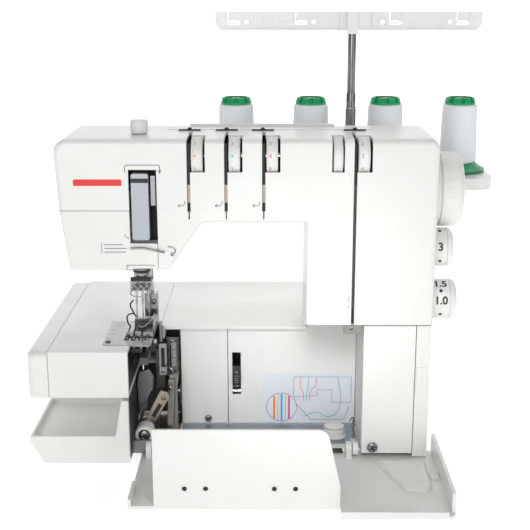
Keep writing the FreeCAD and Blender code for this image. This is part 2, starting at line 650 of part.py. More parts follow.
def take_up():
    plate = Shell("take_up_cover")
    plate.pad("XZ", corners((-113, -98.6), ("slot_low + 3", "slot_high - 3"), 2),
              ("front_y - 1", "front_y + 6"))
    plate.pocket("XZ", corners((-111, -100.6), ("slot_low + 5", "slot_high - 5"), 1),
                 ("front_y + 1", "front_y + 6"))
    hub = ring("X", (-28, 262), (-97, -93.2), 6, 2.05)
    arm = block((-97, -93.2), (-57, -33), (259, 265))
    tip = block((-97, -93.2), (-60, -56), (240, 265))
    keep("take_up_lever", fuse(hub, cut(arm, rod("X", (-28, 262), (-98, -92), 5)), tip))


# ---------------------------------------------------------------- thread tensions
DIAL_NODES = {"tension_dial_left": "slot_one", "tension_dial_middle": "slot_two",
              "tension_dial_right": "slot_three", "tension_dial_looper": "slot_four"}
DIAL = ("dial_y", "dial_z")


def tension_dials():
    posts = []
    for name, slot in DIAL_NODES.items():
        low, high = slot + " + 2.2", slot + " + 2.2 + dial_wide"
        body = rounded(rod("X", DIAL, (low, high), "dial_r"), 0.8, is_rim)
        keep(name, cut(body, rod("X", DIAL, (low, high), "2.06")))
        discs = [ring("X", DIAL, (slot + " + " + str(a), slot + " + " + str(a + 0.5)), 9, 2)
                 for a in (-1.2, 0.7)]
        posts += [rod("X", DIAL, (slot + " - 6", slot + " + 14"), 2), *discs]
    low, high = 53.2, 61
    wheel = rounded(rod("X", DIAL, (low, high), "dial_r"), 0.8, is_rim)
    keep("looper_tight_dial", cut(wheel, rod("X", DIAL, (low, high), "2.06")))
    posts.append(rod("X", DIAL, (50, 62.5), 2))
    posts.append(rod("X", (-28, 262), (-99, -92), 2))
    keep("tension_disc_sets", group(*posts))


def hook_guides():
    """Guide plates behind the slits' lower ends and under the column."""
    hooks = [block((slot + " - 2.5", slot + " + 2.5"), (-52.8, -51.4),
                   ("under_arm + wall", "under_arm + 9"))
             for slot in NEEDLE_SLOTS]
    plate = block(("slot_four - 7", "slot_four + 10"), (-52, -49), (126, "column_foot"))
    hooks.append(cut(plate, rod("Y", ("slot_four", 131), (-53, -48), 1.6)))
    keep("hook_guides", group(*hooks))


# ---------------------------------------------------------------- looper area
FEED_ROWS = (-126, -120, -113.5, -108)


def needle_plate():
    plate = Shell("needle_plate")
    plate.pad("XY", corners((-145, -103), (-43, 24), 2), ("bed_top - 1.4", "bed_top + 0.2"))
    plate.pocket("XY", corners((-123.5, -108.5), (13.4, 16.6), 1.5), ("bed_top - 1.4", "bed_top + 0.2"))
    for x in FEED_ROWS:
        plate.pocket("XY", corners((x - 1.9, x + 1.9), (-31, 5), 1.2), ("bed_top - 1.4", "bed_top + 0.2"))
    plate.pocket("XY", corners((-143, -140), (-35.5, -32.5), 1.49), ("bed_top - 1.4", "bed_top + 0.2"))


def panel_screws():
    heads = [fuse(rod("Y", (-57, 18), ("panel_y - 1.6", "panel_y - 0.1"), 3.4),
                  rod("Y", (-57, 18), ("panel_y - 0.2", "panel_y + 8"), 1.4)),
             fuse(rod("Y", (92, 21), (-56, -54.1), 4.6), rod("Y", (92, 21), (-54.2, -44), 1.4)),
             fuse(rod("Z", (-141.5, -34), ("bed_top + 0.2", "bed_top + 1.2"), 2.4),
                  rod("Z", (-141.5, -34), ("bed_top - 1.4", "bed_top + 0.3"), 1.3))]
    keep("panel_screws", group(*heads))


def feed_dogs():
    bars = [block((x - 1.1, x + 1.1), (-26, 0), (102, "bed_top + 0.8")) for x in FEED_ROWS]
    base = block((-129, -105), (-26, 0), (99, 103))
    tail = block((-112, -105), (-50, -24), (96, 103))
    keep("feed_dogs", fuse(base, tail, *bars))


def looper_set():
    shaft = rod("Y", (-100, 50), (-16, 17), 4)
    arm = fuse(cut(block((-104, -96), (4, 17), (50, 92)), rod("Y", (-100, 50), (-17, 18), 4)),
               block((-110, -96), (12, 17), (86, 94)))
    crank = block((-104, -100), (-16, -8), (20, 46))
    keep("looper_arm", fuse(shaft, arm, crank))
    blade = fuse(block((-132, -108), (13.4, 15.6), (95.5, 98)),
                 block((-112, -104), (12.6, 16.4), (94, 98.5)))
    keep("looper", blade)
    back = block((-95.6, -84), (19, 21), (60, 98))
    window = block((-93, -87), (18, 22), (70, 92))
    upright = block((-91, -84), (-5, -3), (16, 70))
    bracket = block((-91, -84), (-5, 12), (12, 16))
    block_low = block((-116, -90), (-30, -14), (12, 19))
    link = block((-86, -84), (-5, 21), (60, 70))
    carrier = fuse(cut(back, window), link, upright, bracket)
    cone = fuse(rod("Z", (61, -10), (12, 13.5), 11), rod("Z", (61, -10), (13, 22), 9.5))
    knob_end = cut(rod("Y", (-111, 27), (-43, -22), 8), rod("Y", (-111, 27), (-43, -41), 5))
    stem = block((-114, -108), (-30, -22), (19, 26))
    keep("looper_guides", group(carrier, block_low, cone, fuse(knob_end, stem)))


def release_slider():
    plate = block((-33, -27), (13.6, 15.4), (52, 66))
    grip = block((-32, -28), (10, 14), (54, 64))
    tail = block((-32, -28), (15, 20.5), (56, 62))
    keep("release_slider", fuse(plate, grip, tail))


# ---------------------------------------------------------------- looper cover and side tray
def looper_cover():
    shell = Shell("looper_cover")
    floor = [("cover_left", "cover_back"), ("cover_left", "top_wall_y"), ("cover_step", "top_wall_y"),
             ("cover_step", "-half_depth"), ("cover_right", "-half_depth", 6), ("cover_right",
                                                                                "cover_back")]
    shell.pad("XY", floor, ("cover_low", "cover_low + skin"))
    shell.pad("XZ", [(-92, "cover_low"), (58, "cover_low"), (58, 28), (47, "top_wall_high", 9),
                     (-92, "top_wall_high")], ("top_wall_y", "top_wall_y + skin"))
    shell.pad("XY", corners(("cover_right - wall", "cover_right"), ("6 - half_depth", "cover_back")),
              ("cover_low", 28))
    shell.pad("XY", corners(("cover_step", "cover_right - 6"), ("-half_depth", "skin - half_depth")),
              ("cover_low", 14.6))
    shell.pad("XY", corners(("cover_left", "cover_left + skin"), ("top_wall_y", -112)), ("cover_low", 17))
    hump = [(94, -66), (137, -66), (137, -120, 9), (114, -120, 9)]
    shell.pad("XY", hump, ("cover_low", 15))
    shell.dress("Fillet", 3.5, lambda e: lies(e, z=15))
    for low in (-108.3, 68.7):
        lug = [("hinge_y - lug_r", "cover_low"), ("hinge_y + lug_r", "cover_low"),
               ("hinge_y + lug_r", "hinge_z + lug_r", "lug_r - 0.1"),
               ("hinge_y - lug_r", "hinge_z + lug_r", "lug_r - 0.1")]
        shell.pad("YZ", lug, (low, low + 5))
        shell.pocket("YZ", corners(("hinge_y - pin_r - 0.06", "hinge_y + pin_r + 0.06"),
                                   ("hinge_z - pin_r - 0.06", "hinge_z + pin_r + 0.06"), "pin_r + 0.055"),
                     (low, low + 5))
    holes = [rod("Y", (x, 26.7), ("top_wall_y - 1", "top_wall_y + 4"), 1.9) for x in (-67, -50, 5, 22)]
    nodes.pop("looper_cover")
    shell.body.Label = "looper_cover_body"
    keep("looper_cover", cut(shell.body, *holes))
    pins = [rod("X", ("hinge_y", "hinge_z"), (low, low + 10.8), "pin_r") for low in (-108.3, 68.7)]
    keep("cover_hinge_pins", group(*pins))


def side_tray():
    shell = Shell("side_tray")
    outline = [("-half_width", 28), (-198, "foot_tall"), (-121.5, "foot_tall"), (-121.5, 67), (-128, 67),
               (-134, "tray_high"), ("-half_width", "tray_high")]
    shell.pad("XZ", outline, ("tray_front", "tray_back"))
    tray_span = ("tray_front + skin", "tray_back - skin")
    shell.pocket("XY", corners(("skin - half_width", -134), tray_span), ("tray_floor", "tray_high"))
    shell.pocket("XY", corners((-196, -124), tray_span), ("foot_tall", "tray_floor - skin"))


# ---------------------------------------------------------------- controls, stand and thread tree
def side_dials():
    for name, high, radius, out in (("stitch_length_dial", "dial_a_z", "dial_a_r", 158),
                                    ("differential_feed_dial", "dial_b_z", "dial_b_r", 163)):
        at = ("dial_a_y", high)
        cap = rounded(rod("X", at, ("column_right + 1", out), radius), 2.5, is_rim)
        seam = cut(rod("X", at, (150, 150.8), 20), rod("X", at, (150, 150.8), radius + " - 0.6"))
        keep(name, fuse(cut(cap, seam), rod("X", at, (132, 142), 4)))


def spool_stand():
    stand = Shell("spool_stand")
    stand.pad("XY", corners(("stand_left", "half_width"), ("stand_front", "stand_back"), 16),
              ("stand_low", "stand_high"))
    stand.pad("XZ", corners((64, 92), (236, 243)), ("housing_rear + 0.1", "stand_front + 6"))
    stand.pad("XY", corners((64, 92), (86, 104)), ("stand_low - 10", "stand_low + 2"))
    stand.pad("XY", corners((64, 92), ("housing_rear + 0.1", 60)), ("stand_low - 10", "stand_high"))
    stand.pocket("XY", corners(("stand_left + 6", 60), ("stand_front + 6", "stand_back - 6"), 10),
                 ("stand_low", "stand_high - wall"))
    stand.pocket("XY", corners((96, "half_width - 6"), ("stand_front + 6", "stand_back - 6"), 10),
                 ("stand_low", "stand_high - wall"))
    stand.pocket("XY", corners(("pole_x - 5", "pole_x + 5"), ("spool_y - 5", "spool_y + 5"), 4.99),
                 ("stand_low - 10", "stand_high"))
    for i in range(4):
        x = "spool_one + %d * spool_pitch" % i
        stand.pocket("XY", corners((x + " - 2.5", x + " + 2.5"), ("spool_y - 2.5", "spool_y + 2.5"), 2.49),
                     ("stand_high - wall", "stand_high"))
    pins = [rod("Z", ("spool_one + %d * spool_pitch" % i, "spool_y"), ("stand_high - wall", 296), 2.4)
            for i in range(4)]
    keep("spool_pins", group(*pins))


def thread_cones():
    for i in range(4):
        core = Shell("cone_core_%d" % (i + 1))
        core.turn([(3, 0), (26, 0), (26, 3), (19, 7), (7, 10), (5, "spool_tall - 8"),
                   (14.5, "spool_tall - 6"), (12.5, "spool_tall"), (3, "spool_tall")])
        nodes.pop("cone_core_%d" % (i + 1))
        winding = Shell("cone_winding_%d" % (i + 1))
        winding.turn([(7.2, 10.3), (17.7, 8.5), (16.3, "spool_tall - 6.3"), (5.4, "spool_tall - 8.3")])
        nodes.pop("cone_winding_%d" % (i + 1))
        for part in (core.body, winding.body):
            move(part, "spool_one + %d * spool_pitch" % i, "spool_y", "stand_high + 0.3")
        keep("thread_cone_%d" % (i + 1), group(core.body, winding.body))


def thread_tree():
    at = ("pole_x", "spool_y")
    keep("pole_tube", fuse(ring("Z", at, (222, 304), 5, 4.5), rod("Z", at, (222, 224), 5)))
    keep("pole_middle_tube", ring("Z", at, (250, 317), 4.4, 3.9))
    bar = Shell("thread_guide_bar")
    span = ("spool_y - 1.2", "spool_y + 1.2")
    bar.pad("XZ", [("tree_left", "tree_low", 9), ("tree_right", "tree_low", 9), ("tree_right", "tree_high"),
                   ("tree_left", "tree_high")], span)
    for centre, side in ((-33, 1), (30, 1), (118, -1), (181, -1)):
        bar.pocket("XZ", corners((centre - 6, centre - 4.6), (384, "tree_high")), span)
        bar.pocket("XZ", corners((centre - 6, centre + 6), (380, 384), 1.9), span)
        hole = centre + 12 * side
        bar.pocket("XZ", corners((hole - 2.2, hole + 2.2), (380.5, 384.9), 2.1), span)
    bar.body.Label = "guide_bar_plate"
    nodes.pop("thread_guide_bar")
    clamp = block(("pole_x - 5", "pole_x + 5"), ("spool_y - 5", "spool_y + 5"),
                  ("tree_low - 3", "tree_high"))
    rod_down = rod("Z", at, (290, "tree_low"), 3.8)
    keep("thread_guide_bar", fuse(bar.body, clamp, rod_down))


def power_fittings():
    inlet = cut(block((99.3, 116.7), (139, "half_depth - 0.5"), (50.3, 63.7)),
                block((101.5, 114.5), (145, "half_depth"), (52.5, 61.5)))
    blades = [block((x, x + 2), (144, 152), (55, 59)) for x in (104, 110)]
    keep("power_inlet", fuse(inlet, *blades))
    rocker = fuse(rod("X", (152, 56), (78, 94), 5.6), block((78, 94), (146, 152), (54, 58)))
    keep("power_switch", rocker)


base_frame()
rubber_feet()
bed_cover()
free_arm_shell()
free_arm_end_cap()
inner_panels()
front_housing()
face_cover()
rear_housing()
machine_frame()
shaft_bushes()
main_shaft()
lower_shaft()
belts()
motor()
handwheel()
needle_set()
presser_set()
pressure_knob()
take_up()
tension_dials()
hook_guides()
needle_plate()
panel_screws()
feed_dogs()
looper_set()
release_slider()
looper_cover()
side_tray()
side_dials()
spool_stand()
thread_cones()
thread_tree()
power_fittings()
doc.recompute()

# ---------------------------------------------------------------- checks and files
faults = [item.Label for item in doc.Objects if "Invalid" in item.State or "Error" in item.State]
for name, item in nodes.items():
    if item.Shape.isNull() or not item.Shape.isValid():
        faults.append(name)
assert not faults, "failed: " + ", ".join(faults)
os.makedirs("parts", exist_ok=True)
for name, item in nodes.items():
    item.Shape.exportStep("parts/%s.step" % name)
print(len(nodes), "sub-parts written")
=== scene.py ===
"""Looks of the coverstitch machine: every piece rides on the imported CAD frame, in metres."""
import json
import math

import bmesh
import bpy
from mathutils import Matrix, Vector


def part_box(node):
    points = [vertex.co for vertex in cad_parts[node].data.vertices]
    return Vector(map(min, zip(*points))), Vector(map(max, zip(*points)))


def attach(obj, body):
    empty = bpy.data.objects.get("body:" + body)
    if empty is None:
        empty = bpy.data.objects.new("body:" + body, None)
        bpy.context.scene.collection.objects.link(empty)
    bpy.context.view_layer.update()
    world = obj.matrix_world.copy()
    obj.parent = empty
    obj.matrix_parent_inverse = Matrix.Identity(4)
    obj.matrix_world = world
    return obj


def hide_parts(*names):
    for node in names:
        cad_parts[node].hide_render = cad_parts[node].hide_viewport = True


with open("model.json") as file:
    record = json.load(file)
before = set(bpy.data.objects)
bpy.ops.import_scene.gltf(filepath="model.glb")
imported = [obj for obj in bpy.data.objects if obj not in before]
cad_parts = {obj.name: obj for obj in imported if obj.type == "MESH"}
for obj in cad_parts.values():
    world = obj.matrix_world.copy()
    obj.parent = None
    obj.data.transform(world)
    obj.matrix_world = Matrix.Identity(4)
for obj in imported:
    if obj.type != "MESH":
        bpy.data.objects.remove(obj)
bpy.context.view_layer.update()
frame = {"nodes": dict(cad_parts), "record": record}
MM = 0.001
POLE_AT = (78, 95)
STAND_TOP = 243
REAR_FACE = 36
# Depth of the black sheets of painted shade behind the slots.
SHADE_SHEET_FRONT, SHADE_SHEET_BACK = 7.5, 8


# ---------------------------------------------------------------- materials
class Finish:
    """A node material with base colour variation, roughness variation, bump and softened edges."""

    def __init__(self, name, colour, rough, metal=0.0, **settings):
        self.material = bpy.data.materials.new(name)
        self.material.use_nodes = True
        self.nodes = self.material.node_tree.nodes
        self.links = self.material.node_tree.links
        self.shader = self.nodes["Principled BSDF"]
        self.shader.inputs["Metallic"].default_value = metal
        for socket, value in settings.items():
            self.shader.inputs[socket.replace("_", " ").title()].default_value = value
        self.place = self.nodes.new("ShaderNodeTexCoord").outputs["Object"]
        self.colour, self.rough = colour, rough
        self.normal = None

    def stretched(self, scale):
        mapping = self.nodes.new("ShaderNodeMapping")
        mapping.inputs["Scale"].default_value = scale
        self.links.new(self.place, mapping.inputs["Vector"])
        return mapping.outputs["Vector"]

    def noise(self, size_mm, detail=4, vector=None):
        texture = self.nodes.new("ShaderNodeTexNoise")
        texture.inputs["Scale"].default_value = 1 / (size_mm * MM)
        texture.inputs["Detail"].default_value = detail
        self.links.new(vector or self.place, texture.inputs["Vector"])
        return texture.outputs["Fac"]

    def spread(self, value, low, high):
        remap = self.nodes.new("ShaderNodeMapRange")
        remap.inputs["From Min"].default_value = 0.3
        remap.inputs["From Max"].default_value = 0.7
        remap.inputs["To Min"].default_value = low
        remap.inputs["To Max"].default_value = high
        self.links.new(value, remap.inputs["Value"])
        return remap.outputs["Result"]

    def tint(self, value, other, socket="Base Color"):
        """Mix from the base colour to another by a 0..1 value."""
        mix = self.nodes.new("ShaderNodeMix")
        mix.data_type = "RGBA"
        mix.inputs[6].default_value = (*self.colour, 1)
        mix.inputs[7].default_value = (*other, 1)
        self.links.new(value, mix.inputs[0])
        self.links.new(mix.outputs[2], self.shader.inputs[socket])
        return self

    def uneven(self, size_mm, amount, vector=None):
        """Roughness that drifts about its mean, as polish, handling and wear leave it."""
        value = self.spread(self.noise(size_mm, 5, vector), self.rough - amount, self.rough + amount)
        self.links.new(value, self.shader.inputs["Roughness"])
        return self

    def relief(self, height, depth_mm, strength=0.5):
        bump = self.nodes.new("ShaderNodeBump")
        bump.inputs["Strength"].default_value = strength
        bump.inputs["Distance"].default_value = depth_mm * MM
        self.links.new(height, bump.inputs["Height"])
        if self.normal:
            self.links.new(self.normal, bump.inputs["Normal"])
        self.normal = bump.outputs["Normal"]
        return self

    def soft_edges(self, radius_mm):
        bevel = self.nodes.new("ShaderNodeBevel")
        bevel.samples = 4
        bevel.inputs["Radius"].default_value = radius_mm * MM
        self.normal = bevel.outputs["Normal"]
        return self

    def done(self):
        if self.normal:
            self.links.new(self.normal, self.shader.inputs["Normal"])
        return self.material


def moulded(name, colour, rough, grain_mm=0.35, grain_depth=0.02, dirt=0.96, edge=0.5, **settings):
    """Injection-moulded plastic: faint grain, slightly uneven polish, warm drift in the colour."""
    made = Finish(name, colour, rough, **settings).soft_edges(edge)
    drift = made.spread(made.noise(38), 0, 1)
    made.tint(drift, tuple(c * f for c, f in zip(colour, (dirt, dirt, dirt * 0.985))))
    made.uneven(14, 0.06)
    made.relief(made.noise(grain_mm, 2), grain_depth, 0.35)
    made.relief(made.noise(22, 2), 0.12, 0.12)
    return made.done()


def metal(name, colour, rough, grain=(1, 1, 1), grain_mm=0.25, depth=0.01, edge=0.25, other=0.82,
          **settings):
    """Metal with a directional grain where it is ground, or an even one where it is cast."""
    made = Finish(name, colour, rough, metal=1.0, **settings).soft_edges(edge)
    along = made.stretched(grain)
    made.tint(made.spread(made.noise(grain_mm * 3, 4, along), 0, 1), tuple(c * other for c in colour))
    made.uneven(grain_mm * 4, rough * 0.3, along)
    made.relief(made.noise(grain_mm, 3, along), depth, 0.4)
    return made.done()


def thread_winding():
    """Cross-wound polyester thread: two crossing sets of fine turns round the cone."""
    made = Finish("thread_winding", (0.84, 0.88, 0.93), 0.6, Sheen_weight=0.5)
    heights = []
    for lean in (0.11, -0.11):
        wave = made.nodes.new("ShaderNodeTexWave")
        wave.bands_direction = "Z"
        wave.inputs["Scale"].default_value = 1 / (2.4 * MM)
        wave.inputs["Distortion"].default_value = 0.8
        turned = made.nodes.new("ShaderNodeMapping")
        turned.inputs["Rotation"].default_value = (lean, lean, 0)
        made.links.new(made.place, turned.inputs["Vector"])
        made.links.new(turned.outputs["Vector"], wave.inputs["Vector"])
        heights.append(wave.outputs["Fac"])
    both = made.nodes.new("ShaderNodeMath")
    both.operation = "MAXIMUM"
    made.links.new(heights[0], both.inputs[0])
    made.links.new(heights[1], both.inputs[1])
    made.tint(both.outputs[0], (0.95, 0.97, 1.0))
    made.uneven(3, 0.1)
    made.relief(both.outputs[0], 0.25, 0.7)
    made.relief(made.noise(0.4, 5), 0.08, 0.5)
    return made.done()


def ink(name, colour):
    """Printed ink: a thin satin film with a slightly broken density."""
    made = Finish(name, colour, 0.45)
    made.tint(made.spread(made.noise(0.6, 4), 0, 1), tuple(min(1, c * 1.15 + 0.02) for c in colour))
    made.uneven(3, 0.08)
    return made.done()


WHITE = moulded("white_shell", (0.83, 0.83, 0.81), 0.34, Coat_weight=0.2, Coat_roughness=0.18)
WHITE_INNER = moulded("white_inner", (0.84, 0.84, 0.825), 0.5, grain_depth=0.04)
WHITE_DIAL = moulded("white_dial", (0.82, 0.82, 0.80), 0.4, grain_mm=0.2)
TREE = moulded("tree_plastic", (0.86, 0.865, 0.86), 0.3, Coat_weight=0.2)
# Black plastic for the real black parts; the same material makes the black painted shade in slots, holes,
# vents, recesses and behind the slots.
BLACK = moulded("black_plastic", (0.018, 0.018, 0.02), 0.42, dirt=0.7)
GREY = moulded("grey_plastic", (0.23, 0.245, 0.26), 0.45)
GREEN = moulded("green_plastic", (0.01, 0.38, 0.14), 0.33, dirt=0.85)
BLUE_GREY = moulded("blue_grey_satin", (0.43, 0.46, 0.51), 0.32, grain_mm=0.15, Metallic=0.35)
SCREW = metal("screw_steel", (0.36, 0.36, 0.37), 0.24, grain_mm=0.8, depth=0.004)
WARM_STEEL = metal("warm_steel", (0.36, 0.34, 0.32), 0.36, grain=(1, 1, 0.1))
# Matt black: painted shade inside the dial slots, and the face of the black studio cards.
SHADE_AND_CARD_BLACK = moulded("shade_and_card_black", (0.02, 0.02, 0.022), 0.7, dirt=0.7)
RUBBER = moulded("rubber", (0.02, 0.02, 0.021), 0.75, grain_depth=0.06)
BRUSHED = metal("brushed_plate", (0.36, 0.36, 0.37), 0.3, grain=(0.05, 1, 1))
GROUND = metal("ground_steel", (0.58, 0.58, 0.58), 0.25, grain=(1, 1, 0.06))
POLE = metal("pole_steel", (0.27, 0.27, 0.28), 0.14, grain=(1, 1, 0.02), grain_mm=0.5, depth=0.003)
CHROME = metal("chrome", (0.6, 0.6, 0.61), 0.1, grain_mm=1.2, depth=0.004)
CAST = metal("cast_alloy", (0.42, 0.43, 0.44), 0.5, grain_mm=0.6, depth=0.12)
DARK_CAST = metal("dark_cast", (0.12, 0.12, 0.125), 0.45, grain_mm=0.6, depth=0.1)
CAST_GREY = metal("grey_cast", (0.24, 0.24, 0.245), 0.42, grain_mm=0.6, depth=0.08)
BLUED = metal("blued_plate", (0.36, 0.41, 0.47), 0.34, grain=(0.1, 1, 1))
BRONZE = metal("sintered_bronze", (0.50, 0.36, 0.16), 0.45, grain_mm=0.3, depth=0.05)
TAN = metal("tan_plate", (0.47, 0.40, 0.32), 0.35, grain=(1, 1, 0.1))
THREAD = thread_winding()
STICKER = moulded("sticker_film", (0.78, 0.81, 0.90), 0.3, grain_mm=1.5, dirt=0.98, edge=0.1)
STICKER_LIGHT = moulded("sticker_window", (0.82, 0.84, 0.86), 0.35, grain_mm=1.5, edge=0.1)
INKS = {name: ink("ink_" + name, colour) for name, colour in {
    "black": (0.02, 0.02, 0.02), "grey": (0.25, 0.26, 0.28), "red": (0.72, 0.02, 0.02),
    "orange": (0.9, 0.25, 0.02), "cyan": (0.02, 0.45, 0.75), "magenta": (0.75, 0.05, 0.4),
    "green": (0.05, 0.5, 0.2)}.items()}


# ---------------------------------------------------------------- making pieces
def settle(piece, body, material):
    piece.data.materials.clear()
    piece.data.materials.append(material)
    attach(piece, body)
    return piece


def from_bmesh(name, bm, body, material, smooth=40):
    bmesh.ops.recalc_face_normals(bm, faces=bm.faces)
    mesh = bpy.data.meshes.new(name)
    bm.to_mesh(mesh)
    bm.free()
    piece = bpy.data.objects.new(name, mesh)
    bpy.context.collection.objects.link(piece)
    mesh.shade_smooth()
    mesh.set_sharp_from_angle(angle=math.radians(smooth))
    return settle(piece, body, material)


def bevelled(piece, width_mm, segments=3, angle=32):
    bevel = piece.modifiers.new("bevel", "BEVEL")
    bevel.width = width_mm * MM
    bevel.segments = segments
    bevel.limit_method = "ANGLE"
    bevel.angle_limit = math.radians(angle)
    return piece


def softened(node, width_mm, material, segments=2):
    """A copy of a CAD node with its edges really rounded; it stands for the node."""
    source = frame["nodes"][node]
    bm = bmesh.new()
    bm.from_mesh(source.data)
    bmesh.ops.remove_doubles(bm, verts=bm.verts, dist=0.002 * MM)
    bmesh.ops.dissolve_limit(bm, angle_limit=math.radians(0.6), verts=bm.verts, edges=bm.edges)
    piece = from_bmesh(node + "_shell", bm, body_of(node), material)
    bevelled(piece, width_mm, segments)
    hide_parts(node)
    return piece


def body_of(node):
    for body, names in frame["record"]["behaviour"]["bodies"].items():
        if node in names:
            return body
    raise KeyError(node)


AXES = {"X": Matrix(((0, 0, 1), (1, 0, 0), (0, 1, 0))), "Y": Matrix(((1, 0, 0), (0, 0, 1), (0, 1, 0))),
        "-Y": Matrix(((1, 0, 0), (0, 0, -1), (0, 1, 0))), "Z": Matrix.Identity(3)}


def lathe(name, profile, centre, axis, body, material, steps=72, wobble=None, hollow=False):
    """Turn (radius, height) points in mm about an axis; a hollow one is an open ring without end caps."""
    bm = bmesh.new()
    rings = []
    for radius, height in profile:
        ring = []
        for i in range(steps):
            turn = 2 * math.pi * i / steps
            size = radius + (wobble(radius, turn) if wobble else 0)
            spot = Vector((size * math.cos(turn), size * math.sin(turn), height))
            ring.append(bm.verts.new((AXES[axis] @ spot + Vector(centre)) * MM))
        rings.append(ring)
    pairs = list(zip(rings, rings[1:]))
    if hollow:
        pairs.append((rings[-1], rings[0]))
    for low, high in pairs:
        for i in range(steps):
            bm.faces.new((low[i], low[(i + 1) % steps], high[(i + 1) % steps], high[i]))
    if not hollow:
        bm.faces.new(rings[0])
        bm.faces.new(rings[-1])
    return from_bmesh(name, bm, body, material)


def slab(name, outline, plane, low, high, body, material, bevel=0.2):
    """Extrude a closed outline (mm) between two heights of a plane."""
    bm = bmesh.new()
    order = {"XY": (0, 1, 2), "XZ": (0, 2, 1), "YZ": (1, 2, 0)}[plane]
    layers = []
    for height in (low, high):
        verts = []
        for u, v in outline:
            spot = [0, 0, 0]
            spot[order[0]], spot[order[1]], spot[order[2]] = u * MM, v * MM, height * MM
            verts.append(bm.verts.new(spot))
        layers.append(verts)
    bm.faces.new(layers[0])
    bm.faces.new(layers[1])
    count = len(outline)
    for i in range(count):
        bm.faces.new((layers[0][i], layers[0][(i + 1) % count], layers[1][(i + 1) % count], layers[1][i]))
    piece = from_bmesh(name, bm, body, material)
    return bevelled(piece, bevel, 2) if bevel else piece


def rounded_box(u, v, radius, steps=6):
    """Rectangle outline with round corners."""
    spots = []
    corners = ((u[1], v[1], 0), (u[0], v[1], 90), (u[0], v[0], 180), (u[1], v[0], 270))
    for x, y, start in corners:
        cx = x - radius if x == u[1] else x + radius
        cy = y - radius if y == v[1] else y + radius
        for i in range(steps + 1):
            turn = math.radians(start + 90 * i / steps)
            spots.append((cx + radius * math.cos(turn), cy + radius * math.sin(turn)))
    return spots


def wire(name, points, radius, body, material, closed=False, smooth=True):
    """Round wire or printed line through points, in mm."""
    curve = bpy.data.curves.new(name, "CURVE")
    curve.dimensions = "3D"
    curve.bevel_depth = radius * MM
    curve.bevel_resolution = 4
    spline = curve.splines.new("BEZIER" if smooth else "POLY")
    if smooth:
        spline.bezier_points.add(len(points) - 1)
        for point, spot in zip(spline.bezier_points, points):
            point.co = Vector(spot) * MM
            point.handle_left_type = point.handle_right_type = "AUTO"
    else:
        spline.points.add(len(points) - 1)
        for point, spot in zip(spline.points, points):
            point.co = (*(Vector(spot) * MM), 1)
    spline.use_cyclic_u = closed
    curve.use_fill_caps = True
    piece = bpy.data.objects.new(name, curve)
    bpy.context.collection.objects.link(piece)
    return settle(piece, body, material)


def number(name, text, size, spot, turn, body, material, lift=0.06, bold=0.0):
    """A dial number, printed as a thin raised film."""
    curve = bpy.data.curves.new(name, "FONT")
    curve.body = text
    curve.size = size * MM
    curve.extrude = lift * MM
    curve.offset = bold * MM
    curve.align_x = curve.align_y = "CENTER"
    piece = bpy.data.objects.new(name, curve)
    bpy.context.collection.objects.link(piece)
    piece.matrix_world = Matrix.Translation(Vector(spot) * MM) @ turn.to_4x4()
    return settle(piece, body, material)


def screw_head(name, spot, axis, radius, body, tall=1.4, material=None):
    """Domed screw head with a cross recess in black painted shade, its top pointing along -Y or +Z."""
    profile = [(radius * 0.92, 0), (radius, 0.25 * tall), (radius * 0.93, 0.6 * tall),
               (radius * 0.7, 0.88 * tall), (radius * 0.35, tall), (0.02, tall)]
    piece = lathe(name, profile, spot, axis, body, material or SCREW, 48)
    arms = []
    # The cross recess is two thin black slabs laid on the head: painted shade where the recess is.
    for i, turn in enumerate((35, 125)):
        arm = [(radius * 0.62, 0.13 * radius), (-radius * 0.62, 0.13 * radius),
               (-radius * 0.62, -0.13 * radius), (radius * 0.62, -0.13 * radius)]
        spin = math.radians(turn)
        turned = [(u * math.cos(spin) - v * math.sin(spin), u * math.sin(spin) + v * math.cos(spin))
                  for u, v in arm]
        x, y, z = spot
        if axis == "-Y":
            arms.append(slab("%s_slot_%d" % (name, i), [(x + u, z + v) for u, v in turned], "XZ",
                             y - tall - 0.04, y - tall * 0.7, body, BLACK, 0))
        else:
            arms.append(slab("%s_slot_%d" % (name, i), [(x + u, y + v) for u, v in turned], "XY",
                             z + tall * 0.7, z + tall + 0.04, body, BLACK, 0))
    return piece


# ---------------------------------------------------------------- CAD nodes that keep their shape
KEPT = {
    CAST: ["machine_frame", "motor"],
    BRONZE: ["shaft_bushes"],
    GROUND: ["main_shaft", "lower_shaft", "needle_bar", "presser_bar", "presser_spring", "cover_hinge_pins",
             "spool_pins", "needles", "looper"],
    GREY: ["motor_pulley"],
    RUBBER: ["timing_belt", "motor_belt"],
    CHROME: ["tension_disc_sets"],
    POLE: ["pole_tube", "pole_middle_tube"],
    DARK_CAST: ["looper_arm"],
    WARM_STEEL: ["hook_guides"],
    SCREW: ["panel_screws", "needle_clamp", "presser_foot", "take_up_lever"],
    BLACK: ["power_inlet", "power_switch", "presser_lifter"],
    WHITE: ["front_housing", "rear_housing", "free_arm_end_cap", "pressure_knob"],
}
for material, names in KEPT.items():
    for node in names:
        slots = frame["nodes"][node].material_slots
        for slot in slots:
            slot.material = material


# ---------------------------------------------------------------- shells and panels
SHELLS = (("bed_cover", 0.9, WHITE), ("free_arm_shell", 0.9, WHITE), ("face_cover", 0.5, WHITE),
          ("looper_cover", 0.6, WHITE), ("side_tray", 0.8, WHITE), ("spool_stand", 1.0, WHITE),
          ("base_frame", 0.5, WHITE_INNER), ("left_inner_panel", 0.4, WHITE_INNER),
          ("threading_panel", 0.4, WHITE_INNER), ("column_inner_cover", 0.6, WHITE_INNER),
          ("needle_plate", 0.15, BRUSHED), ("take_up_cover", 0.5, BLUE_GREY),
          ("looper_guides", 0.3, WARM_STEEL))
for node, width, material in SHELLS:
    softened(node, width, material)


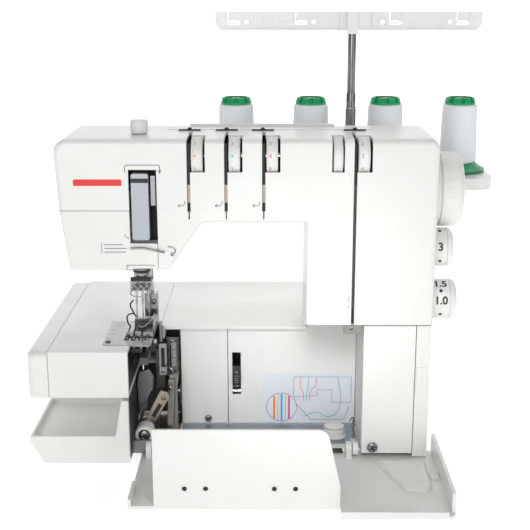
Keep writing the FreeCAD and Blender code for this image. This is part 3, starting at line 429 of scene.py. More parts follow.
def rubber_feet():
    """Four feet, each with two moulded rings."""
    low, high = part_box("rubber_feet")
    inset = 11
    places = [(x, y) for x in (low.x / MM + inset, high.x / MM - inset)
              for y in (low.y / MM + inset, high.y / MM - inset)]
    for i, (x, y) in enumerate(places):
        profile = [(6, 0.4), (6.6, 0), (8.6, 0), (9, 0.5), (9.6, 2.4), (9.2, 2.9), (9.7, 3.4), (10.3, 5.2),
                   (10, 5.7), (10.6, 6.2), (11, 8)]
        lathe("rubber_foot_%d" % (i + 1), profile, (x, y, 0), "Z", "chassis", RUBBER)
    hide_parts("rubber_feet")


def top_details():
    """Thread slots with their bars and pegs, the handle strip and a guide plate on top of the arm."""
    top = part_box("front_housing")[1].z / MM
    for i, x in enumerate((-67.8, -36.1, -5, 74)):
        slab("top_slot_rim_%d" % i, rounded_box((x - 11, x + 11), (-12.3, -5.7), 3), "XY", top - 0.6,
             top + 0.25,
             "chassis", WHITE, 0.2)
        # Black slab inside each rim: painted shade in the slot opening.
        slab("top_slot_%d" % i, rounded_box((x - 9.6, x + 9.6), (-10.4, -7.6), 1.3), "XY", top - 0.3,
             top + 0.3,
             "chassis", BLACK, 0)
        wire("top_bar_%d" % i, [(x - 9.4, -9, top + 0.8), (x + 9.4, -9, top + 0.8)], 0.75, "chassis", BLACK)
        peg = [(1.7, 0), (1.9, 0.8), (1.7, 2.4), (1.2, 2.9), (0.1, 3)]
        lathe("top_peg_%d" % i, peg, (x, -9, top), "Z", "chassis", BLACK, 32)
    strip = rounded_box((-70, 58), (20.5, 25), 2)
    slab("carry_strip", strip, "XY", top - 0.5, top + 2.2, "chassis", WHITE, 0.7)
    slab("top_guide_plate", rounded_box((-88, 92), (-2, 8), 4), "XY", top - 0.4, top + 0.5, "chassis",
         WHITE, 0.25)


def tension_dial(node, colour, figures):
    """Thumb dial with a ribbed rim on both sides and a printed band of numbers between."""
    low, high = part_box(node)
    body = body_of(node)
    wide = (high.x - low.x) / MM
    centre = ((low.x + high.x) / 2 / MM, (low.y + high.y) / 2 / MM, (low.z + high.z) / 2 / MM)
    radius = (high.z - low.z) / 2 / MM
    half = wide / 2

    def ribs(size, turn):
        return -0.35 * max(0, math.cos(turn * 60)) if size > radius - 0.1 else 0

    profile = [(2.1, -half), (radius - 4, -half), (radius - 0.6, -half + 0.1), (radius, -half + 0.6),
               (radius, -half + 1.7), (radius - 0.5, -half + 2), (radius - 0.5, half - 2),
               (radius, half - 1.7), (radius, half - 0.6), (radius - 0.6, half - 0.1), (radius - 4, half),
               (2.1, half)]
    wheel = lathe(node + "_wheel", profile, centre, "X", body, WHITE_DIAL, 240, ribs)
    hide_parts(node)
    for i, figure in enumerate(figures):
        angle = math.radians(7 + 41 * (1 - i))
        outward = Vector((0, -math.cos(angle), math.sin(angle)))
        upward = Vector((0, math.sin(angle), math.cos(angle)))
        turn = Matrix((Vector((1, 0, 0)), upward, outward)).transposed()
        spot = Vector(centre) + outward * (radius - 0.48) - Vector((1.6, 0, 0))
        number("%s_number_%d" % (node, i), figure, 5, spot, turn, body, INKS[colour])


def knob_profile(length, radius, seam):
    """Knob with a base ring, a seam and a soft outer edge; ends with a shallow dish."""
    return [(radius - 1.4, 0), (radius - 0.3, 0), (radius, 0.4), (radius, seam - 0.3),
            (radius - 0.7, seam - 0.1),
            (radius - 0.7, seam + 0.4), (radius - 0.1, seam + 0.6), (radius - 0.1, length - 4),
            (radius - 0.5, length - 2.3), (radius - 1.5, length - 0.9), (radius - 3.1, length - 0.1),
            (radius - 4.5, length), (radius - 6.5, length - 0.4), (0.1, length - 0.7)]


def handwheel():
    low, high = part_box("handwheel")
    centre = (low.x / MM, (low.y + high.y) / 2 / MM, (low.z + high.z) / 2 / MM)
    radius = (high.z - low.z) / 2 / MM
    length = (high.x - low.x) / MM

    def grips(size, turn):
        return -0.3 * max(0, math.cos(turn * 24)) ** 4 if radius - 1.2 < size else 0

    profile = [(radius - 4, 0), (radius - 1.5, 0), (radius - 0.6, 0.6), (radius - 0.2, 2),
               (radius - 0.2, 5), (radius - 1.6, 5.4), (radius - 1.6, 6.2), (radius - 0.2, 6.6),
               (radius, 9), (radius, length - 8),
               (radius - 0.6, length - 5.2), (radius - 2.2, length - 2.4), (radius - 4.8, length - 0.6),
               (radius - 7.4, length), (radius - 9, length - 0.5), (radius - 10, length - 2.5),
               (radius - 10.6, length - 3.6), (6, length - 3.2), (5, length - 2), (3, length - 1.4),
               (0.1, length - 1.3)]
    wheel = lathe("handwheel_body", profile, centre, "X", "drive", WHITE, 192, grips)
    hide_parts("handwheel")


def side_dial(node, seam, figures):
    low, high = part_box(node)
    body = body_of(node)
    radius = (high.z - low.z) / 2 / MM
    start = 141
    length = high.x / MM - start
    centre = (start, (low.y + high.y) / 2 / MM, (low.z + high.z) / 2 / MM)
    knob = lathe(node + "_knob", knob_profile(length, radius, seam), centre, "X", body, WHITE, 96)
    stem = lathe(node + "_stem", [(4, -9), (4, 0.5)], centre, "X", body, GREY, 32)
    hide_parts(node)
    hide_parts(node)
    for i, (figure, degrees) in enumerate(figures):
        angle = math.radians(degrees)
        outward = Vector((0, -math.cos(angle), math.sin(angle)))
        upward = Vector((0, math.sin(angle), math.cos(angle)))
        turn = Matrix((Vector((1, 0, 0)), upward, outward)).transposed()
        spot = Vector((start + seam / 2, *centre[1:])) + outward * (radius + 0.02)
        number("%s_number_%d" % (node, i), figure, 9.5, spot, turn, body, INKS["black"], bold=0.28)


def thread_cone(node):
    """Green cone core with foot and cap, and the cross-wound thread between them."""
    low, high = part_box(node)
    body = body_of(node)
    x, y = (low.x + high.x) / 2 / MM, (low.y + high.y) / 2 / MM
    base = low.z / MM
    tall = (high.z - low.z) / MM
    core = [(3, 0.2), (24, 0), (25.6, 0.3), (26, 1.2), (25.8, 2.6), (24.4, 3.4), (20.6, 5.4), (17.4, 8.2),
            (8, 9), (5, tall - 9), (14, tall - 7), (14.6, tall - 6.2), (14.6, tall - 4.6),
            (14.3, tall - 4.2), (13.7, tall - 1.6), (12.9, tall - 0.3), (11.8, tall),
            (10.8, tall - 0.4), (10.2, tall - 4),
            (4.6, tall - 4.4), (4.4, tall - 1), (3, tall - 0.8)]

    def notches(size, turn):
        return -2.4 if 11.5 < size < 14.4 and math.cos(turn * 8) > 0.62 else 0

    piece = lathe(node + "_core", core, (x, y, base), "Z", body, GREEN, 192, notches)
    foot, head, count = 8.6, tall - 6.6, 56
    foot_radius, head_radius = 17.6, 16.2
    winding = [(7.5, foot - 0.2)]
    for i in range(count + 1):
        up = i / count
        radius = foot_radius + (head_radius - foot_radius) * up
        shoulder = min(1, math.sin(math.pi * up) * 9)
        winding.append((radius - 1.4 * (1 - shoulder) ** 2 + 0.05 * (i % 2), foot + (head - foot) * up))
    winding.append((7, head + 0.2))
    wound = lathe(node + "_winding", winding, (x, y, base), "Z", body, THREAD, 96)
    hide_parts(node)
    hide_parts(node)


def thread_tree():
    """Guide bar: clear moulded plate with four thread stations, rib and clamp, on its rod."""
    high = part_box("thread_guide_bar")[1]
    body = "guide_bar"
    plate = softened("thread_guide_bar", 0.35, TREE)
    plate.name = "guide_bar_plate"
    x, y = POLE_AT
    z_low, z_high = 372, high.z / MM
    for i, centre in enumerate((-33, 30, 118, 181)):
        side = 1 if i < 2 else -1
        path = [(centre - 6 * side, y - 1.5, z_high - 0.6), (centre - 5.6 * side, y - 1.5, 386),
                (centre - 1 * side, y - 1.5, 381.5), (centre + 6 * side, y - 1.5, 382)]
        wire("guide_lip_%d" % i, path, 0.4, body, TREE)
        hole = centre + 12 * side
        ring = [(hole + 2.8 * math.cos(a * math.pi / 6), y - 1.4, 382.7 + 2.8 * math.sin(a * math.pi / 6))
                for a in range(12)]
        wire("guide_eye_%d" % i, ring, 0.35, body, TREE, closed=True)
    slab("guide_rib", [(-46, 376.3), (195, 376.3), (195, 377.3), (-46, 377.3)], "XZ", y - 2, y + 2, body,
         TREE)
    lathe("pole_rod", [(3.7, 289.9), (3.86, 291), (3.86, z_low + 0.5)], (x, y, 0), "Z", body, POLE, 48)
    for i, rib in enumerate((66, 96)):
        slab("guide_stop_%d" % i, [(rib - 0.6, 375.5), (rib + 0.6, 375.5), (rib + 0.6, 391.5),
                                   (rib - 0.6, 391.5)],
             "XZ", y - 2, y - 1, body, WHITE_DIAL, 0.2)
    radius, top = 5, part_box("pole_tube")[1].z / MM
    lip = [(radius - 0.55, top - 1.6), (radius + 0.02, top - 1.6), (radius + 0.25, top - 1.2),
           (radius + 0.25, top - 0.5), (radius, top), (radius - 0.55, top)]
    lathe("pole_tube_lip", lip, (x, y, 0), "Z", body_of("pole_tube"), CHROME, 48, hollow=True)
    ring = [(5.04, STAND_TOP), (8.8, STAND_TOP), (8.8, 244.4), (8.2, 245), (5.2, 245.2)]
    lathe("pole_collar", ring, (x, y, 0), "Z", "chassis", BLACK, 48, hollow=True)


def spool_seats():
    """Rubber discs on the stand under the cones."""
    for i in range(4):
        low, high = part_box("thread_cone_%d" % (i + 1))
        x, y = (low.x + high.x) / 2 / MM, (low.y + high.y) / 2 / MM
        seat = [(2.6, STAND_TOP), (12, STAND_TOP), (12.4, STAND_TOP + 0.1), (12, STAND_TOP + 0.25),
                (2.7, STAND_TOP + 0.25)]
        lathe("cone_seat_%d" % (i + 1), seat, (x, y, 0), "Z", "chassis", GREY, 48)


# ---------------------------------------------------------------- printed marks
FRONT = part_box("front_housing")[0].y / MM - 0.02
SLITS = (-65.6, -34.9, -3.9, 71.4)


def front_line(name, points, radius=0.28, colour="black", smooth=False):
    wire(name, [(x, FRONT, z) for x, z in points], radius, "chassis", INKS[colour], smooth=smooth)


def front_marks():
    """Threading arrows, the plain red badge and the small caution lines, with no words."""
    for i, x in enumerate(SLITS[:3]):
        front_line("thread_path_%d" % i, [(x - 3.2, 244), (x - 3.5, 241.4), (x - 5, 240.3), (x - 9, 240)],
                   0.24)
        front_line("thread_head_%d" % i, [(x - 7.2, 241.8), (x - 9.2, 240), (x - 7.4, 239)], 0.24)
    front_line("column_mark", [(SLITS[3] - 3.6, 162), (SLITS[3] - 3.6, 157)], 0.3, "grey")
    front_line("column_dot", [(SLITS[3] - 3.6, 153.6), (SLITS[3] - 3.6, 152.6)], 0.7, "grey")
    front_line("take_up_path", [(-117.6, 268), (-117.6, 273), (-116.6, 274), (-90, 274), (-89, 273),
                                (-89, 268)])
    front_line("take_up_head", [(-90.2, 269.8), (-89, 267), (-87.8, 269.8)])
    front_line("lower_mark", [(-119.4, 216), (-118.2, 213.4), (-116, 212.4)], 0.24)
    guide = [(-114.6, FRONT - 1.4, 204), (-104, FRONT - 1.8, 204.4), (-95, FRONT - 1.6, 202.6),
             (-86.5, FRONT - 0.4, 200.6)]
    wire("face_thread_guide", guide, 0.9, "chassis", SCREW)
    wire("face_thread_foot", [(-114.6, FRONT + 0.4, 203.4), guide[0]], 1.1, "chassis", SCREW)
    front_line("guide_path", [(-84, 205.4), (-79.4, 204.4), (-77.6, 201.4), (-80.6, 198.4)], 0.28,
               smooth=True)
    front_line("guide_head", [(-78.6, 197.6), (-81.4, 197.6), (-80.8, 200.4)], 0.28)
    slab("red_badge", rounded_box((-160.5, -120.5), (256.6, 262.2), 1.4), "XZ", FRONT, FRONT + 0.6,
         "chassis",
         INKS["red"], 0.1)
    for i, wide in enumerate((16, 19, 18)):
        z = 206.6 - 3.2 * i
        slab("caution_line_%d" % i, rounded_box((-137, wide - 137), (z, z + 0.9), 0.4), "XZ",
             FRONT, FRONT + 0.5, "chassis", INKS["grey"], 0)
    front_line("caution_bar", [(-139, 199.4), (-139, 208.4)], 0.3, "grey")
    slab("cover_band", rounded_box((-112.8, -98.8), (259.4, 263), 0.4), "XZ", FRONT - 1.3, FRONT - 0.7,
         "chassis",
         BLACK, 0.1)


def threading_sticker():
    """Generic threading picture on the inner panel: a round detail view and a line drawing."""
    y = 16
    slab("threading_sticker", rounded_box((-5, 80), (13.5, 64), 3), "XZ", y - 0.25, y - 0.02, "chassis",
         STICKER, 0.05)
    disc = [(12.5 + 14.2 * math.cos(math.radians(a)), 29.5 + 14.2 * math.sin(math.radians(a)))
            for a in range(0, 360, 8)]
    slab("sticker_disc", disc, "XZ", y - 0.45, y - 0.2, "chassis", STICKER_LIGHT, 0)
    wire("sticker_circle", [(u, y - 0.45, v) for u, v in disc], 0.3, "chassis", INKS["grey"], closed=True)
    for i, colour in enumerate(("orange", "grey", "cyan", "grey", "magenta")):
        x = 5.5 + 3.5 * i
        half = math.sqrt(13.4 ** 2 - (x - 12.5) ** 2)
        lines = 0.85 if colour != "grey" else 0.22
        wire("sticker_thread_%d" % i, [(x, y - 0.5, 29.5 - half), (x, y - 0.5, 29.5 + half)], lines,
             "chassis",
             INKS[colour], smooth=False)
    outline = [(24, 40), (24, 60), (78, 60), (78, 34), (60, 34), (60, 47), (46, 47), (46, 41), (24, 40)]
    drawings = {"outline": (outline, "grey"), "needles": ([(30, 60), (30, 50), (33, 44), (33, 36)],
                                                          "orange"),
                "middle": ([(38, 60), (38, 52), (36, 44), (36, 36)], "cyan"),
                "right": ([(45, 60), (45, 52), (39, 45), (39, 36)], "magenta"),
                "looper": ([(66, 60), (66, 26), (58, 20), (44, 24), (34, 20)], "green"),
                "base": ([(27, 32), (40, 17), (72, 17), (76, 30)], "grey")}
    for name, (path, colour) in drawings.items():
        wire("sticker_" + name, [(u, y - 0.35, v) for u, v in path], 0.28, "chassis", INKS[colour],
             smooth=name == "looper")


# ---------------------------------------------------------------- needle and looper area
def needle_area():
    """Detail pieces on the clamp, the foot and the plate."""
    screw_head("plate_screw", (-141.5, -34, 112.2), "Z", 2.6, "chassis", 1.3)
    for i, x in enumerate((-121.6, -116, -110.4)):
        screw_head("clamp_screw_%d" % i, (x, 4.2, 151), "-Y", 2.5, "needle_carrier", 1.2)
    wire("clamp_thread_guide", [(-125, 9, 146.5), (-125, 4, 144), (-116, 3, 142.5), (-107, 4, 144),
                                (-107, 9, 146.5)],
         0.45, "needle_carrier", CHROME)
    wire("foot_lever", [(-121, 4, 123), (-123, 2, 128), (-126, 4, 134), (-124, 10, 137)], 0.7, "presser",
         BLACK)
    wire("foot_spring", [(-105, 6, 124), (-108, -6, 121), (-114, -14, 119), (-118, -8, 119)], 0.5,
         "presser", CHROME)
    screw_head("foot_screw", (-106.4, 21.5, 132), "-Y", 2.6, "presser", 2)
    slab("upper_guide_plate", rounded_box((-127, -105), (173.5, 185), 1.2), "XZ", -3.4, -2.2, "chassis",
         WARM_STEEL)
    # Black patches on the guide plate: painted shade in its slots.
    for i, x in enumerate((-121.6, -116, -110.4)):
        slab("upper_guide_slot_%d" % i, rounded_box((x - 0.9, x + 0.9), (175, 180), 0.8), "XZ", -3.5, -3.3,
             "chassis", BLACK, 0)
    for i, x in enumerate((-124.4, -107.6)):
        screw_head("upper_guide_screw_%d" % i, (x, -3.4, 182.4), "-Y", 1.7, "chassis", 0.8)
    wire("upper_guide_hook", [(-126, -3, 174), (-127, -7, 171.5), (-120, -9, 171), (-112, -9, 171.4),
                              (-105.5, -6, 172), (-105.5, -3, 174)], 0.5, "chassis", SCREW)
    slab("clamp_plate", rounded_box((-125.4, -106.6), (156.2, 160), 1), "XZ", 5.6, 7.4, "needle_carrier",
         BLACK, 0.2)
    lathe("clamp_ring", [(7.5, 0), (8, 0.4), (8, 2.2), (7.5, 2.6)], (-116, 15, 163), "Z", "needle_carrier",
          BLACK, 48)
    wire("foot_frame", [(-125, -6, 117), (-127, -10, 123), (-126.5, -10, 129), (-121, -9, 130.5)], 0.65,
         "presser",
         BLACK)
    slab("foot_block", rounded_box((-122, -106), (117, 121.6), 1), "XZ", -2, 2, "presser", DARK_CAST, 0.4)
    slab("foot_ramp", [(-20, 117), (-3, 117), (-3, 120.5), (-9, 119.6)], "YZ", -118, -110, "presser",
         DARK_CAST)
    for i, y in enumerate((-2, -14, -26)):
        slab("plate_mark_%d" % i, [(-143, y), (-139, y), (-139, y + 0.5), (-143, y + 0.5)], "XY", 112.15,
             112.26,
             "chassis", INKS["black"], 0)
    for i in range(5):
        x = -134 - 1.6 * i
        slab("plate_scale_%d" % i, [(x, 5), (x + 0.3, 5), (x + 0.3, 20), (x, 20)], "XY", 112.15, 112.25,
             "chassis", INKS["grey"], 0)


def feed_dogs():
    """Feed bars whose tops are cut into rows of slanted teeth."""
    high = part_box("feed_dogs")[1]
    top = high.z / MM
    pieces = []
    for i, x in enumerate((-126, -120, -113.5, -108)):
        outline = [(-26, 103)]
        y = -26
        while y < -0.5:
            outline += [(y, top - 1), (y + 0.9, top), (y + 1.3, top - 1)]
            y += 1.3
        outline += [(0, top - 1), (0, 103)]
        pieces.append(slab("feed_row_%d" % i, outline, "YZ", x - 1.1, x + 1.1, "feed", BRUSHED, 0))
    pieces.append(slab("feed_base", [(-129, 99), (-105, 99), (-105, 103), (-129, 103)], "XZ", -26, 0,
                       "feed", DARK_CAST))
    pieces.append(slab("feed_bar", [(-112, 96), (-105, 96), (-105, 103), (-112, 103)], "XZ", -50, -25,
                       "feed",
                       DARK_CAST))
    for piece in pieces:
        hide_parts("feed_dogs")


def looper_walls():
    """Dark casting that closes the looper bay behind and beside the looper."""
    slab("bay_back", [(-120.5, 14.5), (-82.6, 14.5), (-82.6, 108.5), (-120.5, 108.5)], "XZ", 40.4, 41.2,
         "chassis",
         DARK_CAST, 0.2)
    slab("bay_end", [(-57, 73.4), (24, 73.4), (24, 89.5), (-57, 89.5)], "YZ", -122.6, -122, "chassis",
         DARK_CAST, 0.2)
    slab("bay_foot", [(-121.2, 12.5), (-100, 12.5), (-100, 25), (-121.2, 25)], "XZ", -50, -47, "chassis",
         CAST_GREY, 0.6)
    slab("bay_left", [(-60, 13), (38, 13), (38, 69.8), (-60, 69.8)], "YZ", -121.2, -120.8, "chassis",
         DARK_CAST, 0)
    for i, (low, high) in enumerate(((14.5, 29.5), (50.5, 108.5))):
        slab("bay_side_%d" % i, [(19, low), (40.2, low), (40.2, high), (19, high)], "YZ", -83.4, -82.7,
             "chassis",
             DARK_CAST, 0.2)
    slab("bay_floor", rounded_box((-117.5, -83), (-35, 40), 1.5), "XY", 12.05, 12.7, "chassis", WARM_STEEL,
         0.15)
    for i, z in enumerate((48, 66, 84)):
        slab("bay_rib_%d" % i, rounded_box((-119, -84), (z, z + 3), 1), "XZ", 37, 40.4, "chassis",
             DARK_CAST, 0.4)


def looper_area():
    """Screws, plates and springs round the looper."""
    slab("guard_plate", rounded_box((-95.4, -84.6), (61, 97), 1.5), "XZ", 18.4, 18.9, "chassis", WARM_STEEL,
         0.1)
    # Black patch on the guard plate: painted shade in its slot.
    slab("guard_slot", rounded_box((-92.4, -87.6), (70, 91), 1.5), "XZ", 18.2, 18.5, "chassis", BLACK, 0)
    screw_head("guard_screw_top", (-90, 18.3, 94), "-Y", 1.9, "chassis", 0.8, CHROME)
    screw_head("guard_screw_low", (-90, 18.3, 65), "-Y", 1.9, "chassis", 0.8, CHROME)
    slab("window_frame", rounded_box((-101, -93.6), (67, 98), 1.2), "XZ", 1.2, 2.2, "chassis", BRUSHED, 0.3)
    # Black patch on the window frame: painted shade in its slot.
    slab("window_slot", rounded_box((-99, -95.6), (75, 94), 1), "XZ", 1, 1.3, "chassis", BLACK, 0)
    screw_head("window_screw", (-97.3, 1.2, 71), "-Y", 1.7, "chassis", 0.8, CHROME)
    slab("side_plate", rounded_box((-90, -85), (70, 98), 1), "XZ", 4.6, 5.6, "chassis", WARM_STEEL, 0.3)
    for i, z in enumerate((92, 84, 75)):
        screw_head("side_screw_%d" % i, (-87.6, 4.6, z), "-Y", 1.5, "chassis", 0.8, CHROME)
    slab("looper_bar", [(-94, 17), (-88, 17), (-86, 66), (-92, 66)], "XZ", -8, -6, "chassis", WARM_STEEL,
         0.2)
    screw_head("looper_bar_screw", (-90, -8.1, 58), "-Y", 2, "chassis", 0.9, CHROME)
    casting = [(-120, 36), (-111, 36), (-110, 50), (-105.4, 58), (-104.6, 71), (-109, 78), (-118, 76),
               (-120.6, 66)]
    slab("looper_casting", casting, "XZ", -12, -8.4, "chassis", CAST_GREY, 1.0)
    upper = [(-120.6, 80), (-106, 84), (-103, 93), (-109, 95.5), (-120.6, 95)]
    slab("upper_casting", upper, "XZ", 22, 26, "chassis", CAST_GREY, 0.8)
    bracket = [(-112.4, 33), (-104.4, 28.6), (-89.6, 54.6), (-92, 59), (-98, 61)]
    slab("slot_bracket", bracket, "XZ", -21.8, -19.8, "chassis", TAN, 0.3)
    # Black patch on the bracket: painted shade in its slot.
    slab("bracket_slot", [(-106.8, 36.4), (-103.6, 34.6), (-96.6, 47), (-99.8, 48.8)], "XZ", -22, -21.7,
         "chassis",
         BLACK, 0)
    screw_head("bracket_screw_low", (-107.6, -21.8, 33), "-Y", 1.7, "chassis", 0.9)
    screw_head("bracket_screw_top", (-95.2, -21.8, 53.6), "-Y", 2.1, "chassis", 0.9)
    knob = [(5.2, 0.9), (5.4, 0.2), (7.4, 0), (8.3, 0.8), (8.5, 2.4), (8.2, 12), (7.4, 21)]
    lathe("roller_knob", knob, (-111, -43.5, 27), "Y", "chassis", WHITE_DIAL, 72)
    lathe("roller_ring", [(4.6, 0), (5.4, -0.2), (5.4, 1.2), (4.6, 1.2)], (-111, -43, 27), "Y", "chassis",
          BLACK, 48)
    screw_head("roller_screw", (-111, -42.6, 27), "-Y", 4.2, "chassis", 1.0)
    wire("finger_spring", [(-116, -20, 21), (-118, -24, 34), (-113, -12, 46), (-108, 0, 58)], 0.5,
         "chassis", CHROME)
    wire("looper_thread_wire", [(-86, -4, 66), (-88, -6, 74), (-93, -3, 78), (-96, 2, 74)], 0.45, "chassis",
         CHROME)


def compartment():
    """Floor plate, vent strip, thread cup and catch inside the looper compartment."""
    slab("floor_plate", rounded_box((-81, 81), (-28, 14), 2), "XY", 12.05, 12.6, "chassis", BLUED, 0.15)
    for i, x in enumerate((-70, 40)):
        screw_head("floor_screw_%d" % i, (x, -22, 12.6), "Z", 2.4, "chassis", 0.9)
    cup = [(11.2, 12.6), (11.3, 13.2), (10.6, 14), (9.9, 14.3), (9.7, 21), (9.2, 22), (8.2, 22.3),
           (0.1, 22.3)]
    lathe("thread_cup", cup, (61, -10, 0), "Z", "chassis", WHITE_DIAL, 72)
    for i in range(9):
        y = -46 + 0.9 * i
        slab("vent_rib_%d" % i, [(42, y), (66.6, y), (66.6, y + 0.5), (42, y + 0.5)], "XY", 11.4, 12.6,
             "cover",
             DARK_CAST, 0.1)
    wire("looper_post", [(77, -30, 12.6), (77, -30, 36)], 1.1, "chassis", SCREW, smooth=False)
    wire("looper_post_hook", [(77, -30, 36), (76.6, -31, 39), (74.4, -33, 39), (73.4, -34, 36.6)], 0.7,
         "chassis", SCREW)
    slab("catch_block", rounded_box((128.4, 137.4), (72, 96), 1.5), "XZ", -54.5, -53.9, "chassis",
         WHITE_INNER, 0.3)
    screw_head("panel_screw_left", (-57, 16, 18), "-Y", 3.6, "chassis", 2)
    screw_head("panel_screw_right", (92, -54.3, 21), "-Y", 4.8, "chassis", 2.2)
    low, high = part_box("release_slider")
    z = (low.z + high.z) / 2 / MM
    grip = slab("release_grip", rounded_box((-32.6, -27.4), (z - 5, z + 6), 1.2), "XZ", 10, 14, "release",
                BLACK, 0.6)
    stem = slab("release_stem", rounded_box((-31.4, -28.6), (z - 7, z + 7), 1), "XZ", 13.6, 15.4, "release",
                CHROME, 0.2)
    tail = slab("release_tail", rounded_box((-32, -28), (z - 3, z + 3), 0.6), "XZ", 15.3, 20.5, "release",
                BLACK, 0.2)
    for piece in (grip, stem, tail):
        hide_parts("release_slider")
    for i in range(4):
        slab("release_rib_%d" % i, [(-32, z - 3 + 2.2 * i), (-28, z - 3 + 2.2 * i),
                                    (-28, z - 2.2 + 2.2 * i),
                                    (-32, z - 2.2 + 2.2 * i)], "XZ", 9.5, 10.1, "release", GREY, 0.1)


def cover_details():
    """Ribs and clip inside the open looper cover, and its four holes, each a rim round a black disc of
    painted shade.
    """
    for i, x in enumerate((-80, -20, 40)):
        slab("cover_rib_%d" % i, [(-141.9, 11), (-141.9, 40), (-138, 16), (-128, 11)], "YZ", x, x + 1.6,
             "cover", WHITE, 0.3)
    slab("cover_clip", rounded_box((138, 145), (-98, -86), 1.5), "XY", 11, 12.6, "cover", WHITE, 0.5)
    for i, x in enumerate((-67, -50, 5, 22)):
        ring = [(2.05, 0), (2.5, 0), (2.6, 0.15), (2.5, 0.3), (2.05, 0.3)]
        lathe("cover_hole_rim_%d" % i, ring, (x, -144.35, 26.7), "-Y", "cover", WHITE_INNER, 40, hollow=True)
        # A black disc inside each rim: painted shade where the hole is.
        plug = [(2.02, 0), (2.02, 0.12), (0.01, 0.12)]
        lathe("cover_hole_shade_%d" % i, plug, (x, -144.3, 26.7), "-Y", "cover", BLACK, 40)


def rear_details():
    """Vent slots and screws on the back, and vent slots on the right side."""
    # Black slabs on the back: painted shade in the vent slots.
    for i in range(8):
        z = 150 + 6 * i
        slab("rear_vent_%d" % i, rounded_box((58, 112), (z, z + 2.4), 1.1), "XZ", REAR_FACE - 0.1,
             REAR_FACE + 0.12, "chassis", BLACK, 0)
    for i, (x, z) in enumerate(((-150, 214), (-40, 240), (44, 130), (128, 130), (128, 280))):
        profile = [(3.6, 0), (3.6, 0.9), (3, 1.3), (0.1, 1.4)]
        lathe("rear_screw_%d" % i, profile, (x, REAR_FACE - 0.2, z), "Y", "chassis", GREY, 40)
    # Black slabs on the right side: painted shade in the vent slots.
    for i in range(7):
        y = 70 + 9 * i
        slab("side_vent_%d" % i, rounded_box((y, y + 4), (30, 62), 1.9), "YZ", 139.9, 140.12, "chassis",
             BLACK, 0)


def slit_and_dial_shade():
    """What shows inside the thread slits and beside the dials: black sheets of painted shade, and the metal
    tension plate in the slits.
    """
    for i, x in enumerate(SLITS):
        sides = (x - 1.3, x + 1.3)
        foot = 235.2 if i < 3 else 137.4
        middle = 242 if i < 3 else 150
        # The lowest and highest spans of each slit are black painted shade; the middle span is the tension
        # plate, or a dark casting in the column slit.
        spans = ((foot, middle, BLACK), (middle, 257, TAN if i < 3 else DARK_CAST), (257, 291, BLACK))
        for k, (low, high, material) in enumerate(spans):
            outline = [(sides[0], low), (sides[1], low), (sides[1], high), (sides[0], high)]
            slab("slit_shade_and_plate_%d_%d" % (i, k), outline, "XZ", -57.2, -56.6, "chassis", material, 0)
    low_y, high_y = -57.9, -30.2
    # Cheeks beside each dial and a back behind it in matt black: painted shade inside the dial slots.
    for i, (low, high) in enumerate([(x + 1.3, x + 13.6) for x in SLITS] + [(52, 62.2)]):
        for k, x in enumerate((low - 0.3, high + 0.02)):
            slab("dial_cheek_shade_%d_%d" % (i, k), rounded_box((low_y, high_y), (262, 291.5), 3), "YZ",
                 x, x + 0.28, "chassis", SHADE_AND_CARD_BLACK, 0)
        slab("dial_well_shade_%d" % i, [(low, 262), (high, 262), (high, 291), (low, 291)], "XZ",
             high_y, high_y + 0.4, "chassis", SHADE_AND_CARD_BLACK, 0)


def painted_shade_sheets():
    """Black sheets of painted shade behind the slots, so that the inside reads dark."""
    for name, (left, right), (low, high), front, back in (
            ("arm_shade_sheet", (-168, 130), (238, 290), SHADE_SHEET_FRONT, SHADE_SHEET_BACK),
            ("head_shade_sheet", (-160, -126), (190, 238), SHADE_SHEET_FRONT, SHADE_SHEET_BACK),
            ("column_shade_sheet", (40, 94), (142, 237), SHADE_SHEET_FRONT, SHADE_SHEET_BACK),
            ("slot_shade_sheet", (-116, -94), (206, 272), -40, -39.5)):
        outline = [(left, low), (right, low), (right, high), (left, high)]
        slab(name, outline, "XZ", front, back, "chassis", BLACK, 0)


rubber_feet()
top_details()
for node, colour, figures in (("tension_dial_left", "orange", "345"),
                              ("tension_dial_middle", "cyan", "345"),
                              ("tension_dial_right", "magenta", "345"),
                              ("tension_dial_looper", "green", "234"),
                              ("looper_tight_dial", "grey", "")):
    tension_dial(node, colour, figures)
handwheel()
side_dial("stitch_length_dial", 11.5, (("3", 12), ("\u2022", -35), ("\u2022", 66)))
side_dial("differential_feed_dial", 16, (("1.5", 62), ("\u2022", 38), ("1.0", 10), ("\u2022", -35)))
for i in range(4):
    thread_cone("thread_cone_%d" % (i + 1))
thread_tree()
spool_seats()
front_marks()
threading_sticker()
needle_area()
feed_dogs()
looper_walls()
looper_area()
compartment()
cover_details()
rear_details()
slit_and_dial_shade()
painted_shade_sheets()


# ---------------------------------------------------------------- stage, light and camera
def studio():
    """White sweep: a floor that curves up far behind the machine."""
    bm = bmesh.new()
    rows = [(-3.0, 0), (2.2, 0)]
    rows += [(2.2 + 1.2 * math.sin(t * math.pi / 24),
              1.2 - 1.2 * math.cos(t * math.pi / 24)) for t in range(1, 13)]
    rows.append((3.4, 4))
    verts = [[bm.verts.new((x, y, z)) for x in (-4, 4)] for y, z in rows]
    for a, b in zip(verts, verts[1:]):
        bm.faces.new((a[0], a[1], b[1], b[0]))
    mesh = bpy.data.meshes.new("sweep")
    bm.to_mesh(mesh)
    bm.free()
    sweep = bpy.data.objects.new("sweep", mesh)
    bpy.context.collection.objects.link(sweep)
    paper = Finish("paper_sweep", (0.9, 0.9, 0.9), 0.8, Emission_color=(1, 1, 1, 1), Emission_strength=0.5)
    paper.tint(paper.spread(paper.noise(300), 0, 1), (0.885, 0.885, 0.885))
    paper.uneven(60, 0.05)
    mesh.materials.append(paper.done())
    mesh.shade_smooth()


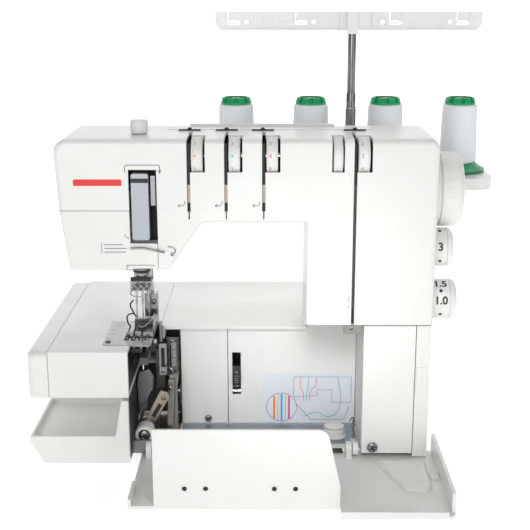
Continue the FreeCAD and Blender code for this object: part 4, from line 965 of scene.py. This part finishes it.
def area_light(name, spot, aim, size, power):
    """Soft rectangular light at one place, turned toward another."""
    light = bpy.data.lights.new(name, "AREA")
    light.energy = power
    light.shape = "RECTANGLE"
    light.size, light.size_y = size
    lamp = bpy.data.objects.new(name, light)
    bpy.context.collection.objects.link(lamp)
    lamp.location = spot
    lamp.rotation_euler = (Vector(aim) - Vector(spot)).to_track_quat("-Z", "Y").to_euler()


def bay_light():
    """Small soft spot over the open cover, which lifts the shaded panels behind it."""
    lamp = bpy.data.lights.new("bay_light", "SPOT")
    lamp.energy = 5.5
    lamp.spot_size = math.radians(30)
    lamp.spot_blend = 0.9
    lamp.shadow_soft_size = 0.08
    spot = bpy.data.objects.new("bay_light", lamp)
    bpy.context.collection.objects.link(spot)
    spot.location = (0.03, -0.45, 0.4)
    aim = Vector((0.03, 0.01, 0.075)) - spot.location
    spot.rotation_euler = aim.to_track_quat("-Z", "Y").to_euler()


def dark_card(name, x, side):
    """Narrow black card beside the lens; only bright metal and gloss mirror it."""
    bm = bmesh.new()
    spots = [(x, -1.25, -0.2), (x + 0.3 * side, -1.0, -0.2), (x + 0.3 * side, -1.0, 1.6), (x, -1.25, 1.6)]
    bm.faces.new([bm.verts.new(spot) for spot in spots])
    mesh = bpy.data.meshes.new(name)
    bm.to_mesh(mesh)
    bm.free()
    card = bpy.data.objects.new(name, mesh)
    bpy.context.collection.objects.link(card)
    mesh.materials.append(SHADE_AND_CARD_BLACK)
    card.visible_camera = card.visible_diffuse = card.visible_shadow = False


def light_and_camera():
    """Even white room, two low front lights, a weak top light, a wash on the sweep, and the camera."""
    world = bpy.data.worlds.new("soft_room")
    world.use_nodes = True
    world.node_tree.nodes["Background"].inputs["Color"].default_value = (1, 1, 1, 1)
    world.node_tree.nodes["Background"].inputs["Strength"].default_value = 0.34
    bpy.context.scene.world = world
    centre = (0, 0, 0.18)
    area_light("key", (-0.5, -1.9, 0.6), centre, (1.2, 1.0), 11)
    area_light("fill", (1.2, -1.6, 0.5), centre, (1.0, 1.0), 6)
    area_light("top", (0.1, 0.3, 1.9), centre, (1.4, 1.0), 1.2)
    for i, side in enumerate((-1, 1)):
        dark_card("dark_card_%d" % i, side * 0.62, side)
    bay_light()
    area_light("sweep_wash", (0, 1.2, 2.2), (0, 2.6, 0.3), (3.0, 0.8), 30)
    camera = bpy.data.cameras.new("camera")
    camera.lens = 70.2
    camera.sensor_width = 36
    camera.dof.use_dof = False
    eye = bpy.data.objects.new("camera", camera)
    bpy.context.collection.objects.link(eye)
    eye.location = (0.0012, -0.896, 0.415)
    eye.rotation_euler = (math.radians(90 - 15.1), 0, math.radians(0.28))
    bpy.context.scene.camera = eye
    bpy.context.scene.view_settings.view_transform = "Standard"


studio()
light_and_camera()
